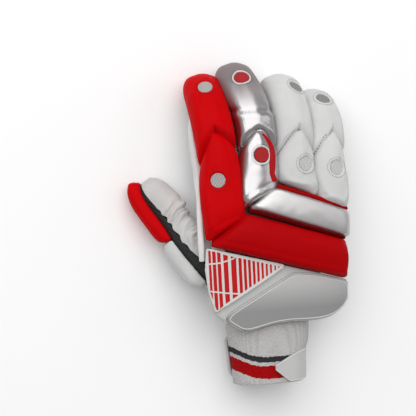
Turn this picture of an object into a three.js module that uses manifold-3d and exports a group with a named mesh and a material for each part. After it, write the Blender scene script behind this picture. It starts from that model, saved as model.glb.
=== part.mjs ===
// A cricket batting glove for the right hand, lying palm down with its fingers curled to the surface.
// Millimetres. +X runs towards the little finger, +Y towards the fingertips and +Z up.
// The knuckles are at y = 0 while the pieces are made, and the last lines move the origin under the glove.

import * as THREE from "three";
import { mergeVertices } from "three/addons/utils/BufferGeometryUtils.js";
import Module from "manifold-3d";

const wasm = await Module();
wasm.setup();
const { Vector3, Vector2 } = THREE;
const { degToRad, radToDeg, clamp, lerp, smoothstep } = THREE.MathUtils;

// Clearances and walls
const gap = 0.3;
const seatGap = 0.5; // under a pad, over the facets that it sits on
const innerGap = 1.0; // between a gusset and the leather that it is stitched inside
const leatherWall = 1.8;
const meshWall = 1.2;
const towelWall = 2.6;
const gussetLap = 10; // degrees of a finger's ring that a gusset runs on under the leather

// The palm tube, from the wrist seam to the knuckles
const palm = { length: 112, width: 120, height: 42, knuckleRise: 38, centre: -1.3, wristShift: 7.7 };
const palmSquareness = 2.6;
// Shares of the palm's length, width and height
const palmSections = [
  { along: 0.0, wide: 0.62, deep: 1.1 },
  { along: 0.18, wide: 0.74, deep: 1.1 },
  { along: 0.38, wide: 0.88, deep: 1.06 },
  { along: 0.57, wide: 0.97, deep: 1.0 },
  { along: 0.77, wide: 1.0, deep: 0.88 },
  { along: 0.93, wide: 0.98, deep: 0.74 },
  { along: 1.0, wide: 0.97, deep: 0.69 },
];
const backHalf = 72; // half the width of the arch that the rolls and the gauntlet lie on

// The heel patch: its height as shares of the palm's length at angles of the palm's ring
const heelThick = 1.4;
const heelSections = [
  { angle: 284, low: 0.03, high: 0.05 },
  { angle: 296, low: 0.03, high: 0.17 },
  { angle: 308, low: 0.03, high: 0.25 },
  { angle: 322, low: 0.03, high: 0.3 },
  { angle: 338, low: 0.03, high: 0.32 },
];

// Finger sleeves: yaw and roll are degrees towards the little finger, swing is how much further a finger
// turns that way past its knuckle, and rise is above the knuckle centre
const finger = { width: 26.4, depth: 25, straight: 0.35, taper: 0.08 };
const fingers = [
  { name: "index", across: -44, rise: 0, length: 82, yaw: -5.5, swing: -6, roll: -12 },
  { name: "middle", across: -14.7, rise: 2, length: 91, yaw: 1.6, swing: -18.5, roll: -4 },
  { name: "ring", across: 15.4, rise: 0.5, length: 79, yaw: 4.5, swing: -3, roll: 8 },
  { name: "little", across: 43.6, rise: -2, length: 65, yaw: 5.5, swing: 4, roll: 14 },
];
const tongueHalf = 52; // degrees each side of a finger's front line that the palm leather covers
const linerHalf = 66; // degrees each side of a finger's back line that the liner covers

// Finger pads
const pad = { height: 14, tipWrap: 122, tipThick: 3, restThick: 4.5, leavesHand: -8, onFinger: 14 };
const chevronGap = 1.8;
// For each finger: half its pads' width and the angle that they cover, where the two pads meet and how far
// the seam drops to each side, how the lower pad ends across the hand, and where its two vents lie
const padPlans = {
  index: {
    half: 15.4, cover: 61, apex: 43.5, left: 27, right: 16,
    end: -33, slant: 9.5, below: 38.5, aside: -8, tip: 4,
  },
  middle: {
    half: 15.2, cover: 62, apex: 43.5, left: 18.5, right: 17,
    end: -8, slant: 8.5, below: 18.5, aside: 1, tip: 4,
  },
  ring: {
    half: 15.4, cover: 62, apex: 41.8, left: 21.5, right: 23,
    end: -2.5, slant: -7, below: 25, aside: 8, tip: 13,
  },
  little: {
    half: 11.7, cover: 54, apex: 38.6, left: 22, right: 20.5,
    end: -16.5, slant: -5, below: 27, aside: 3, tip: -6,
  },
};
const vent = { radius: 6.2, depth: 2.4, thick: 1.5, upperAt: 0.89, sides: 16 };

// The back of the hand: rolls, bar and piping as corners in x and y
const rollThick = 15;
const barThick = 13;
const pipingThick = 8.5;
const rollCorners = [[-59, -47.3], [59.5, -81.6], [59.5, -51.9], [-31.5, -24.8]];
const barCorners = [[-23.5, -20.2], [60, -47], [60.5, -26], [-2.5, -4.5]];
const pipingWidth = 3.2;

// The gauntlet over the wrist and what is raised on it
const gauntlet = { left: -62.5, right: 61, topLeft: -51, topRight: -84.8, reach: 41, thick: 3.5 };
// Shares of the gauntlet's width, and how far its edge lies below its upper edge as a share of its reach
const gauntletSections = [
  { across: 0.0, drop: 1.15 },
  { across: 0.02, drop: 1.28 },
  { across: 0.045, drop: 1.38 },
  { across: 0.12, drop: 1.48 },
  { across: 0.225, drop: 1.6 },
  { across: 0.3, drop: 1.5 },
  { across: 0.43, drop: 1.28 },
  { across: 0.61, drop: 1.12 },
  { across: 0.76, drop: 1.02 },
  { across: 0.88, drop: 0.86 },
  { across: 0.96, drop: 0.62 },
  { across: 1.0, drop: 0.38 },
];
const panelThick = 2.6;
const panelInset = 1.6;
const stripe = { count: 15, width: 0.034, raise: 0.9, border: 2.4, bow: 3 };
// The striped panel's corners and the flap panel's edges, as shares of the gauntlet's width and of its reach
const stripeCorners = { near: [-0.014, -0.02], apex: [0.53, -0.03], low: [0.026, 1.3] };
const flapSections = [
  { across: 0.11, top: 1.36, bottom: 1.4 },
  { across: 0.16, top: 1.22, bottom: 1.47 },
  { across: 0.225, top: 1.05, bottom: 1.55 },
  { across: 0.3, top: 0.86, bottom: 1.46 },
  { across: 0.43, top: 0.54, bottom: 1.24 },
  { across: 0.59, top: 0.14, bottom: 1.09 },
  { across: 0.76, top: 0.06, bottom: 0.98 },
  { across: 0.88, top: 0.06, bottom: 0.82 },
  { across: 0.95, top: 0.06, bottom: 0.61 },
  { across: 0.985, top: 0.06, bottom: 0.4 },
];

// The thumb sleeve, from its mouth in the palm's side to its tip
const thumb = { root: [-54, -58], lean: 35, length: 84, width: 27.2, depth: 28, tipRise: 13.5, rootRise: 20 };
// Shares of the thumb's length, width, depth and rise; turn is in degrees towards the palm
const thumbSections = [
  { along: 0.0, across: 0.0, turn: 55, wide: 2.28, deep: 0.84, lift: 0.74, square: 4 },
  { along: 0.16, across: -0.19, turn: 50, wide: 1.69, deep: 0.96, lift: 0.74, square: 3.4 },
  { along: 0.283, across: -0.27, turn: 42, wide: 1.29, deep: 1.04, lift: 0.65, square: 2.6 },
  { along: 0.457, across: -0.2, turn: 25, wide: 1.15, deep: 1.04, lift: 0.48, square: 2.2 },
  { along: 0.579, across: -0.11, turn: 12, wide: 1.1, deep: 1.0, lift: 0.33, square: 2 },
  { along: 0.713, across: -0.09, turn: 2, wide: 1.08, deep: 0.96, lift: 0.2, square: 2 },
  { along: 0.868, across: -0.11, turn: 0, wide: 0.985, deep: 0.86, lift: 0.12, square: 2 },
  { along: 0.956, across: -0.127, turn: 0, wide: 0.75, deep: 0.62, lift: 0.05, square: 2 },
  { along: 1.0, across: -0.14, turn: 0, wide: 0.41, deep: 0.15, lift: 0.0, square: 2 },
];
// Where the leather ends on the upper and lower side of each thumb section, in degrees from the pad's line
const thumbSeams = [
  { upper: 84, lower: 244 },
  { upper: 74, lower: 248 },
  { upper: 64, lower: 254 },
  { upper: 56, lower: 258 },
  { upper: 52, lower: 262 },
  { upper: 47, lower: 268 },
  { upper: 41, lower: 284 },
  { upper: 36, lower: 302 },
  { upper: 34, lower: 310 },
];
const thumbPad = { height: 10, centre: -12, half: 35 };

// The knitted cuff, its strap and badge
const cuff = { length: 58, width: 71, height: 45, squareness: 2.5, tuck: 4, shift: -8.3, segments: 20 };
const cuffSections = [
  { along: 0.0, wide: 0.94, deep: 0.9 },
  { along: 0.09, wide: 0.96, deep: 0.93 },
  { along: 0.2, wide: 0.99, deep: 0.96 },
  { along: 0.4, wide: 0.96, deep: 1.0 },
  { along: 0.65, wide: 0.9, deep: 1.0 },
  { along: 1.0, wide: 0.87, deep: 0.99 },
];
const strap = { thick: 2.2, from: 5 };
// One row for each of the cuff's segments, from the strap's pointed end on the little-finger side, in shares
// of the cuff's length
const strapSections = [
  { top: 0.74, bottom: 0.81 },
  { top: 0.635, bottom: 0.985 },
  { top: 0.58, bottom: 0.985 },
  { top: 0.555, bottom: 0.98 },
  { top: 0.55, bottom: 0.965 },
  { top: 0.54, bottom: 0.965 },
  { top: 0.49, bottom: 0.975 },
  { top: 0.41, bottom: 0.98 },
  { top: 0.34, bottom: 0.98 },
  { top: 0.3, bottom: 0.98 },
  { top: 0.28, bottom: 0.98 },
  { top: 0.28, bottom: 0.98 },
  { top: 0.3, bottom: 0.98 },
  { top: 0.35, bottom: 0.94 },
  { top: 0.42, bottom: 0.82 },
];
const badge = { halfWidth: 13.5, halfLength: 15.5, thick: 1.6, aside: 2, along: 0.62 };
const wristRise = cuff.height / 2 + strap.thick + badge.thick + seatGap + gap;

// The padded strip along the thumb side of the index finger
const guard = { onHand: 5, onFinger: 9.5, from: -62, to: 68, inner: -64.8, outer: -68.2 };

// A row of a table at a share between its rows, each column eased through its neighbours
function rowAt(rows, key, at) {
  const last = rows.length - 1;
  let i = 0;
  while (i < last - 1 && at > rows[i + 1][key]) i++;
  const [a, b] = [rows[i], rows[i + 1]];
  const [before, after] = [rows[Math.max(i - 1, 0)], rows[Math.min(i + 2, last)]];
  const span = b[key] - a[key];
  const t = clamp((at - a[key]) / span, 0, 1);
  const row = {};
  for (const column of Object.keys(a)) {
    const slopeA = ((b[column] - before[column]) / (b[key] - before[key])) * span;
    const slopeB = ((after[column] - a[column]) / (after[key] - a[key])) * span;
    row[column] =
      a[column] * (2 * t ** 3 - 3 * t ** 2 + 1) +
      slopeA * (t ** 3 - 2 * t ** 2 + t) +
      b[column] * (3 * t ** 2 - 2 * t ** 3) +
      slopeB * (t ** 3 - t ** 2);
  }
  return row;
}

// A sheet of cells between an inner and an outer face, closed into a solid by walls along its free edges
class Sheet {
  constructor() {
    this.points = [];
    this.found = new Map();
    this.cells = [];
  }

  point(inner, outer) {
    const key = [...inner.toArray(), ...outer.toArray()].map((v) => Math.round(v * 500)).join(",");
    if (!this.found.has(key)) {
      this.found.set(key, this.points.length);
      this.points.push([inner, outer]);
    }
    return this.found.get(key);
  }

  // Rows and columns of points from at(row, column), joined into cells where keep(row, column) says so
  grid(rows, columns, at, keep = () => true) {
    const ids = [];
    for (let r = 0; r < rows; r++) {
      ids.push([]);
      for (let c = 0; c < columns; c++) {
        const [inner, outer] = at(r, c);
        ids[r].push(this.point(inner, outer));
      }
    }
    for (let r = 0; r + 1 < rows; r++)
      for (let c = 0; c + 1 < columns; c++)
        if (keep(r, c)) this.cells.push([ids[r][c], ids[r][c + 1], ids[r + 1][c + 1], ids[r + 1][c]]);
    return this;
  }

  geometry() {
    const used = new Map();
    for (const cell of this.cells)
      cell.forEach((id, i) => {
        const next = cell[(i + 1) % cell.length];
        if (id !== next) used.set(id + ">" + next, [id, next]);
      });
    const corners = [];
    const face = (...list) => {
      for (let i = 1; i + 1 < list.length; i++) corners.push(list[0], list[i], list[i + 1]);
    };
    const [INNER, OUTER] = [0, 1];
    for (const cell of this.cells) {
      const ring = cell.filter((id, i) => id !== cell[(i + 1) % cell.length]);
      face(...ring.map((id) => this.points[id][OUTER]));
      face(...[...ring].reverse().map((id) => this.points[id][INNER]));
    }
    for (const [a, b] of used.values())
      if (!used.has(b + ">" + a))
        face(this.points[b][OUTER], this.points[a][OUTER], this.points[a][INNER], this.points[b][INNER]);
    const geometry = new THREE.BufferGeometry().setFromPoints(corners);
    if (volumeOf(corners) < 0) flip(geometry);
    return geometry;
  }
}

function volumeOf(corners) {
  let sum = 0;
  for (let i = 0; i < corners.length; i += 3)
    sum += corners[i].dot(new Vector3().crossVectors(corners[i + 1], corners[i + 2]));
  return sum / 6;
}

function flip(geometry) {
  const p = geometry.attributes.position;
  const [a, b] = [new Vector3(), new Vector3()];
  for (let i = 0; i < p.count; i += 3) {
    a.fromBufferAttribute(p, i + 1);
    b.fromBufferAttribute(p, i + 2);
    p.setXYZ(i + 1, b.x, b.y, b.z);
    p.setXYZ(i + 2, a.x, a.y, a.z);
  }
}

// The point of a surface at (u, v), and its normal on the side away from a centre point
function seated(surface, u, v, centre, under, over) {
  const step = 0.05;
  const p = surface(u, v);
  const alongU = surface(u + step, v).sub(surface(u - step, v));
  const alongV = surface(u, v + step).sub(surface(u, v - step));
  const normal = alongU.cross(alongV).normalize();
  if (normal.dot(p.clone().sub(centre(u, v))) < 0) normal.negate();
  return [p.clone().addScaledVector(normal, under), p.clone().addScaledVector(normal, over)];
}

const solids = {
  of(geometry) {
    const bare = geometry.clone();
    bare.deleteAttribute("normal");
    bare.deleteAttribute("uv");
    const merged = mergeVertices(bare, 1e-3);
    return new wasm.Manifold(
      new wasm.Mesh({
        numProp: 3,
        vertProperties: merged.attributes.position.array,
        triVerts: new Uint32Array(merged.index.array),
      }),
    );
  },
  geometry(solid) {
    const mesh = solid.getMesh();
    return new THREE.BufferGeometry()
      .setAttribute("position", new THREE.BufferAttribute(mesh.vertProperties, 3))
      .setIndex(new THREE.BufferAttribute(mesh.triVerts, 1));
  },
};
const cut = (a, b) => solids.geometry(solids.of(a).subtract(solids.of(b)));
const join = (a, b) => solids.geometry(solids.of(a).add(solids.of(b)));

const materials = {
  leather: { color: 0xe4e2de, roughness: 0.55, metalness: 0 },
  liner: { color: 0xdcdbd8, roughness: 0.6, metalness: 0 },
  mesh: { color: 0x141614, roughness: 0.85, metalness: 0 },
  redPad: { color: 0xc4060c, roughness: 0.4, metalness: 0 },
  whitePad: { color: 0xdddddb, roughness: 0.45, metalness: 0 },
  silver: { color: 0xb9b4b5, roughness: 0.16, metalness: 1 },
  piping: { color: 0xa00d0a, roughness: 0.45, metalness: 0 },
  greyVent: { color: 0xb7b3b0, roughness: 0.8, metalness: 0 },
  redVent: { color: 0xb01218, roughness: 0.8, metalness: 0 },
  gauntlet: { color: 0xd8d8d6, roughness: 0.5, metalness: 0 },
  badge: { color: 0xb50b10, roughness: 0.35, metalness: 0 },
  towel: { color: 0xdad9d6, roughness: 0.95, metalness: 0 },
};

const glove = new THREE.Group();
function piece(name, geometry, finish) {
  const material = new THREE.MeshStandardMaterial({ ...materials[finish], flatShading: true });
  const mesh = new THREE.Mesh(geometry, material);
  mesh.name = name;
  glove.add(mesh);
}

// The palm tube's centre and half sizes at y
function palmAt(y) {
  const along = clamp(1 + y / palm.length, 0, 1);
  const row = rowAt(palmSections, "along", along);
  return {
    x: palm.centre - palm.wristShift * (1 - along) ** 1.5,
    z: lerp(wristRise, palm.knuckleRise, smoothstep(along, 0, 1)),
    half: (palm.width / 2) * row.wide,
    deep: (palm.height / 2) * row.deep,
  };
}
const bulge = (value, square) => Math.sign(value) * Math.abs(value) ** (2 / square);

// The palm tube's outer skin: the angle is 0 on the little-finger side and 90 on the back
function palmSkin(y, angle) {
  const p = palmAt(y);
  const a = degToRad(angle);
  return new Vector3(
    p.x + p.half * bulge(Math.cos(a), palmSquareness),
    y,
    p.z + p.deep * bulge(Math.sin(a), palmSquareness),
  );
}
const palmCentre = (y) => new Vector3(palmAt(y).x, y, palmAt(y).z);

// The angle of the palm's ring that lies at x at the knuckles, on the back or on the front
function ringAngle(x, front) {
  const p = palmAt(0);
  const share = clamp((x - p.x) / p.half, -1, 1);
  const angle = radToDeg(Math.acos(Math.sign(share) * Math.abs(share) ** (palmSquareness / 2)));
  return front ? 360 - angle : angle;
}

// The wide arch over the back of the hand that the rolls, the bar and the gauntlet lie on
function backArch(x, y) {
  const p = palmAt(y);
  const share = Math.min(Math.abs(x - p.x) / backHalf, 0.97);
  return new Vector3(x, y, p.z + p.deep * (1 - share ** palmSquareness) ** (1 / palmSquareness));
}
const underArch = (x, y) => new Vector3(x * 0.5, y, -palm.height);

// The curl that brings a fingertip down by a drop over the part of the finger that bends
function curlFor(bend, drop) {
  let [low, high] = [0.01, 2.2];
  for (let i = 0; i < 40; i++) {
    const curl = (low + high) / 2;
    if ((bend * (1 - Math.cos(curl))) / curl < drop) low = curl;
    else high = curl;
  }
  return low;
}

const plumb = new Vector3(0, 0, 1);
for (const f of fingers) {
  const straight = finger.straight * f.length;
  const tipRise = finger.depth / 2 + pad.restThick + gap;
  const baseRise = palm.knuckleRise + f.rise;
  const roll = degToRad(f.roll);
  const curl = curlFor(f.length - straight, (baseRise - tipRise) / Math.cos(roll));
  // Where the sleeve points at a distance s from the knuckle, and its sides there
  f.facing = (s) => {
    const bent = clamp((s - straight) / (f.length - straight), 0, 1);
    const yaw = degToRad(f.yaw + f.swing * smoothstep(bent, 0, 0.8));
    const ahead = new Vector3(Math.sin(yaw), Math.cos(yaw), 0);
    const level = new Vector3(Math.cos(yaw), -Math.sin(yaw), 0);
    const up = plumb.clone().multiplyScalar(Math.cos(roll)).addScaledVector(level, Math.sin(roll));
    const side = level.clone().multiplyScalar(Math.cos(roll)).addScaledVector(plumb, -Math.sin(roll));
    return { ahead, up, side, pitch: bent * curl };
  };
  // Its centre line, laid down in short steps
  const step = 1;
  const centres = [new Vector3(f.across, 0, baseRise)];
  for (let s = 0; s < f.length; s += step) {
    const { ahead, up, pitch } = f.facing(s + step / 2);
    const next = centres.at(-1).clone().addScaledVector(ahead, step * Math.cos(pitch));
    centres.push(next.addScaledVector(up, -step * Math.sin(pitch)));
  }
  const before = f.facing(0).ahead;
  f.at = (s) => {
    const at = Math.min(s, f.length) / step;
    if (at <= 0) return centres[0].clone().addScaledVector(before, at * step);
    const i = Math.min(Math.floor(at), centres.length - 2);
    return centres[i].clone().lerp(centres[i + 1], at - i);
  };
}

// A finger's outer skin: the angle is 0 on its back, and past the tip the two halves turn over it
function fingerSkin(f, s, angle) {
  const { ahead, up, side, pitch } = f.facing(s);
  const past = Math.max(0, s - f.length) / (finger.depth / 2);
  const turned = pitch + (Math.abs(angle) <= 90 ? past : -past);
  const half = (finger.width / 2) * (1 - finger.taper * clamp(s / f.length, 0, 1));
  const [across, out] = [half * Math.sin(degToRad(angle)), (finger.depth / 2) * Math.cos(degToRad(angle))];
  return f
    .at(s)
    .addScaledVector(side, across)
    .addScaledVector(up, out * Math.cos(turned))
    .addScaledVector(ahead, out * Math.sin(turned));
}
const fingerCentre = (f) => (s) => f.at(s);

// The distance along a finger past which it is turned over its tip by an angle
const overTip = (f, angle) => f.length + degToRad(angle) * (finger.depth / 2);

const PALM_ROWS = palmSections.slice(0, -1).map((row) => row.along);
const FINGER_ROWS = [0.09, 0.26, 0.43, 0.58, 0.72, 0.86];

// The columns of one side of the hand: each finger's angles, and for each the angle of the palm's ring
function columnsOf(half, front) {
  const turns = [-1, -0.38, 0.38, 1].map((t) => t * half);
  return fingers.flatMap((f, i) =>
    turns.map((turn, k) => {
      const angle = front ? 180 - turn : turn;
      const x = f.across + (finger.width / 2) * Math.sin(degToRad(turn));
      return { f, i, k, turn, angle, ring: ringAngle(x, front) };
    }),
  );
}

const wallPair = (outerOffset, wall) => [outerOffset - wall, outerOffset];

function palmPoint(y, angle, [under, over]) {
  return seated((u, v) => palmSkin(u, v), y, angle, palmCentre, under, over);
}

function fingerPoint(f, s, angle, [under, over]) {
  return seated((u, v) => fingerSkin(f, u, v), s, angle, fingerCentre(f), under, over);
}

const palmY = (row) => (row - 1) * palm.length;
const columnsPerFinger = 4;

// The palm's tube up to the knuckles, over the given ring angles
function handSheet(ring, keep) {
  const onPalm = (r, c) => palmPoint(palmY(PALM_ROWS[r]), ring[c], wallPair(0, leatherWall));
  return new Sheet().grid(PALM_ROWS.length, ring.length, onPalm, keep).geometry();
}

// One finger's tongue, from just past the hand's edge, with rows of its own over the tip
function tongue(f, own, tipRows, atTip) {
  const walls = wallPair(0, leatherWall);
  const rows = 1 + FINGER_ROWS.length + tipRows;
  return new Sheet()
    .grid(rows, columnsPerFinger, (r, k) => {
      if (r === 0) return palmPoint(palmY(PALM_ROWS.at(-1)) + gap, own[k].ring, walls);
      if (r <= FINGER_ROWS.length) return fingerPoint(f, FINGER_ROWS[r - 1] * f.length, own[k].angle, walls);
      const [s, angle] = atTip(r - 1 - FINGER_ROWS.length, k);
      return fingerPoint(f, s, angle, walls);
    })
    .geometry();
}

// The white back of the glove: the hand from the wrist seam, and a tongue over each fingertip
function backLiners() {
  const columns = columnsOf(linerHalf, false);
  const tipRows = [0, 27, 54, 80, 103, 126, 150];
  const tipSpread = [1, 1.08, 1.15, 1.19, 1.19, 1.12, 0.95];
  piece("back_liner", handSheet(columns.map((c) => c.ring)), "liner");
  for (const f of fingers) {
    const own = columns.filter((c) => c.f === f);
    const atTip = (t, k) => [overTip(f, tipRows[t]), own[k].angle * tipSpread[t]];
    piece(f.name + "_back_liner", tongue(f, own, tipRows.length, atTip), "liner");
  }
}

// The palm leather: the front, the little-finger side and the thumb side with its hole, and the finger fronts
function palmLeathers() {
  const front = columnsOf(tongueHalf, true).reverse();
  const back = columnsOf(linerHalf, false);
  const seamTurn = 1.4;
  // Ring angles from the back liner's thumb-side edge, under the palm, to its little-finger-side edge
  const thumbEdge = back[0].ring + seamTurn;
  const littleEdge = 360 + back.at(-1).ring - seamTurn;
  const radial = [thumbEdge, 0.55 * thumbEdge + 0.45 * front.at(-1).ring];
  const fingersFront = [...front].reverse().map((c) => c.ring);
  const ulnar = [0.33, 0.66, 1].map((t) => lerp(fingersFront.at(-1), littleEdge, t));
  const thumbRows = [1, 4];
  const closed = (r, c) => c > radial.length || r < thumbRows[0] || r >= thumbRows[1];
  piece("palm_leather", handSheet([...radial, ...fingersFront, ...ulnar], closed), "leather");
  for (const f of fingers) {
    const own = front.filter((c) => c.f === f).reverse();
    const atTip = (t, k) => {
      const inner = k === 1 || k === 2;
      return [f.length * (inner ? 0.975 : 0.935), 180 - own[k].turn * (inner ? 0.9 : 0.72)];
    };
    piece(f.name + "_palm_leather", tongue(f, own, 1, atTip), "leather");
  }
}

// The second layer of leather over the heel of the palm, on the little-finger side
function heelPatch() {
  const rows = 5;
  return new Sheet()
    .grid(rows, heelSections.length, (r, c) => {
      const section = heelSections[c];
      const along = lerp(section.low, section.high, r / (rows - 1));
      return palmPoint(palmY(along), section.angle, [seatGap, seatGap + heelThick]);
    })
    .geometry();
}

// A finger's black gusset: up one side of the finger, round under the tip and down the other side
function gusset(f) {
  const walls = wallPair(-leatherWall - innerGap, meshWall);
  const inner = 180 - tongueHalf + gussetLap;
  const outer = linerHalf - gussetLap;
  // Shares of the finger's length at the strip's two edges, and their angles from the back line
  const legs = [
    ...FINGER_ROWS.slice(0, 5).map((s) => ({ s, innerAngle: inner, outerS: s, outerAngle: outer })),
    { s: 0.82, innerAngle: inner + 2, outerS: 0.86, outerAngle: outer + 3 },
    { s: 0.875, innerAngle: inner + 8, outerS: 1.0, outerAngle: 90 },
    { s: 0.905, innerAngle: inner + 22, outerS: 1.06, outerAngle: 126 },
    { s: 0.915, innerAngle: 180, outerS: 1.08, outerAngle: 180 },
  ];
  const path = [
    ...legs.map((leg) => ({ ...leg, hand: -1 })),
    ...legs.slice(0, -1).reverse().map((leg) => ({ ...leg, hand: 1 })),
  ];
  const across = 4;
  return new Sheet()
    .grid(path.length, across, (r, c) => {
      const leg = path[r];
      const t = c / (across - 1);
      const angle = lerp(leg.innerAngle, leg.outerAngle, t);
      return fingerPoint(f, f.length * lerp(leg.s, leg.outerS, t), leg.hand * Math.min(angle, 179.9), walls);
    })
    .geometry();
}

// The small black web that closes the crotch between two fingers
function fingerWeb(a, b) {
  const clear = finger.width / 2 - leatherWall - 2 * gap;
  const [from, to] = [a.across + clear, b.across - clear];
  const y = palmY(PALM_ROWS.at(-1)) - meshWall - gap;
  const inside = (x, front) => palmPoint(y, ringAngle(x, front), wallPair(0, leatherWall))[0].z;
  const top = Math.min(inside(from, false), inside(to, false)) - seatGap;
  const low = Math.max(inside(from, true), inside(to, true)) + seatGap;
  return new THREE.BoxGeometry(to - from, meshWall, top - low).translate((from + to) / 2, y, (top + low) / 2);
}

// How much of a pad's form is the finger's and not the hand's, along the finger
const fingerShare = (s) => smoothstep(s, pad.leavesHand, pad.onFinger);

// The seat of a finger pad at a share of its width: the finger's skin, eased into the hand's arch
function padSeat(f, s, turn) {
  const plan = padPlans[f.name];
  const onFinger = fingerSkin(f, s, turn * plan.cover);
  const spread = Math.sin(degToRad(turn * plan.cover)) / Math.sin(degToRad(plan.cover));
  const leaned = (finger.depth / 2 + pad.height) * Math.sin(degToRad(f.roll));
  const x = f.across + leaned + Math.tan(degToRad(f.yaw)) * s + spread * plan.half;
  const onBack = backArch(x, Math.min(s, 0));
  onBack.y = s;
  return onBack.lerp(onFinger, fingerShare(s));
}

// A pad's thickness at a share of its width: boxy on the back of the hand, rounder on the finger
function padThickness(s, turn) {
  const onBack = [1, 0.99, 0.9, 0.44];
  const onFinger = [1, 0.95, 0.72, 0.3];
  const read = (list) => {
    const at = Math.abs(turn) * (list.length - 1);
    const i = Math.min(Math.floor(at), list.length - 2);
    return lerp(list[i], list[i + 1], at - i);
  };
  return pad.height * lerp(read(onBack), read(onFinger), fingerShare(s));
}

const PAD_TURNS = [-1, -0.68, -0.34, 0, 0.34, 0.68, 1];
const chevronAt = (plan, turn) => plan.apex - Math.abs(turn) * (turn < 0 ? plan.left : plan.right);

// The inner and outer point of a pad, with its thickness scaled
function padPoint(f, s, turn, full = 1) {
  const thick = Math.max(padThickness(s, turn) * full, 1.2);
  // the surface is read in degrees across, which suit the step that its normal is taken over
  const surface = (u, v) => padSeat(f, u, v / padPlans[f.name].cover);
  return seated(surface, s, turn * padPlans[f.name].cover, fingerCentre(f), seatGap, seatGap + thick);
}

function padGrid(f, rows) {
  return new Sheet()
    .grid(rows.length, PAD_TURNS.length, (r, c) => {
      const turn = PAD_TURNS[c];
      return padPoint(f, rows[r].s(turn), turn, rows[r].full);
    })
    .geometry();
}

// The pad over a fingertip: a swallowtail edge above the knuckle, turned down over the tip
function upperPad(f) {
  const plan = padPlans[f.name];
  const start = (turn) => chevronAt(plan, turn) + chevronGap;
  const along = [
    { t: 0, full: 0.62 },
    { t: 0.06, full: 0.92 },
    { t: 0.25, full: 1 },
    { t: 0.5, full: 1 },
    { t: 0.75, full: 0.97 },
    { t: 1, full: 0.92 },
  ];
  const over = [
    { turn: 28, full: 0.84 },
    { turn: 56, full: 0.74 },
    { turn: 84, full: 0.62 },
    { turn: 106, full: 0.38 },
    { turn: pad.tipWrap, full: pad.tipThick / pad.height },
  ];
  return padGrid(f, [
    ...along.map(({ t, full }) => ({ full, s: (turn) => lerp(start(turn), f.length, t) })),
    ...over.map(({ turn, full }) => ({ full, s: () => overTip(f, turn) })),
  ]);
}

// The pad over the knuckle: pointed under the upper pad, cut aslant at the back of the hand
function lowerPad(f) {
  const plan = padPlans[f.name];
  const along = [
    { t: 0, full: 0.55 },
    { t: 0.07, full: 0.92 },
    { t: 0.3, full: 1 },
    { t: 0.55, full: 1 },
    { t: 0.78, full: 0.95 },
    { t: 0.94, full: 0.8 },
    { t: 1, full: 0.5 },
  ];
  return padGrid(
    f,
    along.map(({ t, full }) => ({
      full,
      s: (turn) => lerp(plan.end + plan.slant * turn, chevronAt(plan, turn), t),
    })),
  );
}

// A vent's recess, or its disc, at a place on a finger's pad; from and to are heights above the pad's face
function ventPlug(f, [s, degrees], radius, from, to) {
  const [seat, top] = padPoint(f, s, degrees / padPlans[f.name].cover);
  const axis = top.clone().sub(seat).normalize();
  const plug = new THREE.CylinderGeometry(radius, radius, to - from, vent.sides);
  plug.applyQuaternion(new THREE.Quaternion().setFromUnitVectors(new Vector3(0, 1, 0), axis));
  const centre = top.clone().addScaledVector(axis, (from + to) / 2);
  return plug.translate(centre.x, centre.y, centre.z);
}

function fingerPads(f) {
  const plan = padPlans[f.name];
  const pads = { index: "redPad", middle: "silver", ring: "whitePad", little: "whitePad" };
  const places = { upper: [vent.upperAt * f.length, plan.tip], lower: [plan.apex - plan.below, plan.aside] };
  for (const [half, geometry] of [["upper", upperPad(f)], ["lower", lowerPad(f)]]) {
    const recess = ventPlug(f, places[half], vent.radius + gap, -vent.depth, vent.depth);
    piece(f.name + "_" + half + "_pad", cut(geometry, recess), pads[f.name]);
    const disc = ventPlug(f, places[half], vent.radius, gap - vent.depth, gap - vent.depth + vent.thick);
    piece(f.name + "_" + half + "_vent", disc, f.name === "middle" ? "redVent" : "greyVent");
  }
}

// A padded patch on the back arch between four corners: left low, right low, right high, left high
function archPatch(corners, thick, columns, rows, edge, round) {
  const [leftLow, rightLow, rightHigh, leftHigh] = corners.map((c) => new Vector2(...c));
  const profile = (t, power) => edge + (1 - edge) * (1 - Math.abs(2 * t - 1) ** power) ** 0.5;
  const spaced = (i, n, hold) => {
    const t = i / (n - 1);
    const eased = 0.5 - 0.5 * Math.cos(Math.PI * t);
    return lerp(t, eased, hold);
  };
  return new Sheet()
    .grid(rows, columns, (r, c) => {
      const [u, v] = [spaced(c, columns, 0.7), spaced(r, rows, 1)];
      const low = leftLow.clone().lerp(rightLow, u);
      const at = low.lerp(leftHigh.clone().lerp(rightHigh, u), v);
      const full = thick * profile(v, round) * profile(u, 14);
      return seated(backArch, at.x, at.y, underArch, gap, gap + Math.max(full, 1.2));
    })
    .geometry();
}

// A narrow strip just beyond one long side of a patch
function stripBeyond(a, b, width, clear) {
  const along = new Vector2(...b).sub(new Vector2(...a)).normalize();
  const out = new Vector2(-along.y, along.x);
  const shift = (p, by) => new Vector2(...p).addScaledVector(out, by).toArray();
  return [shift(a, clear), shift(b, clear), shift(b, clear + width), shift(a, clear + width)];
}

function backRolls() {
  const [barLeftLow, barRightLow, barRightHigh, barLeftHigh] = barCorners;
  piece("red_roll", archPatch(rollCorners, rollThick, 11, 7, 0.4, 3.5), "redPad");
  piece("silver_bar", archPatch(barCorners, barThick, 10, 6, 0.66, 6), "silver");
  const above = stripBeyond(barLeftHigh, barRightHigh, pipingWidth, gap * 2);
  piece("bar_piping_upper", archPatch(above, pipingThick, 9, 3, 0.7, 3), "piping");
  const below = stripBeyond(barRightLow, barLeftLow, pipingWidth * 0.7, gap * 2);
  piece("bar_piping_lower", archPatch(below, pipingThick * 0.8, 9, 3, 0.7, 3), "piping");
}

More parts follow.
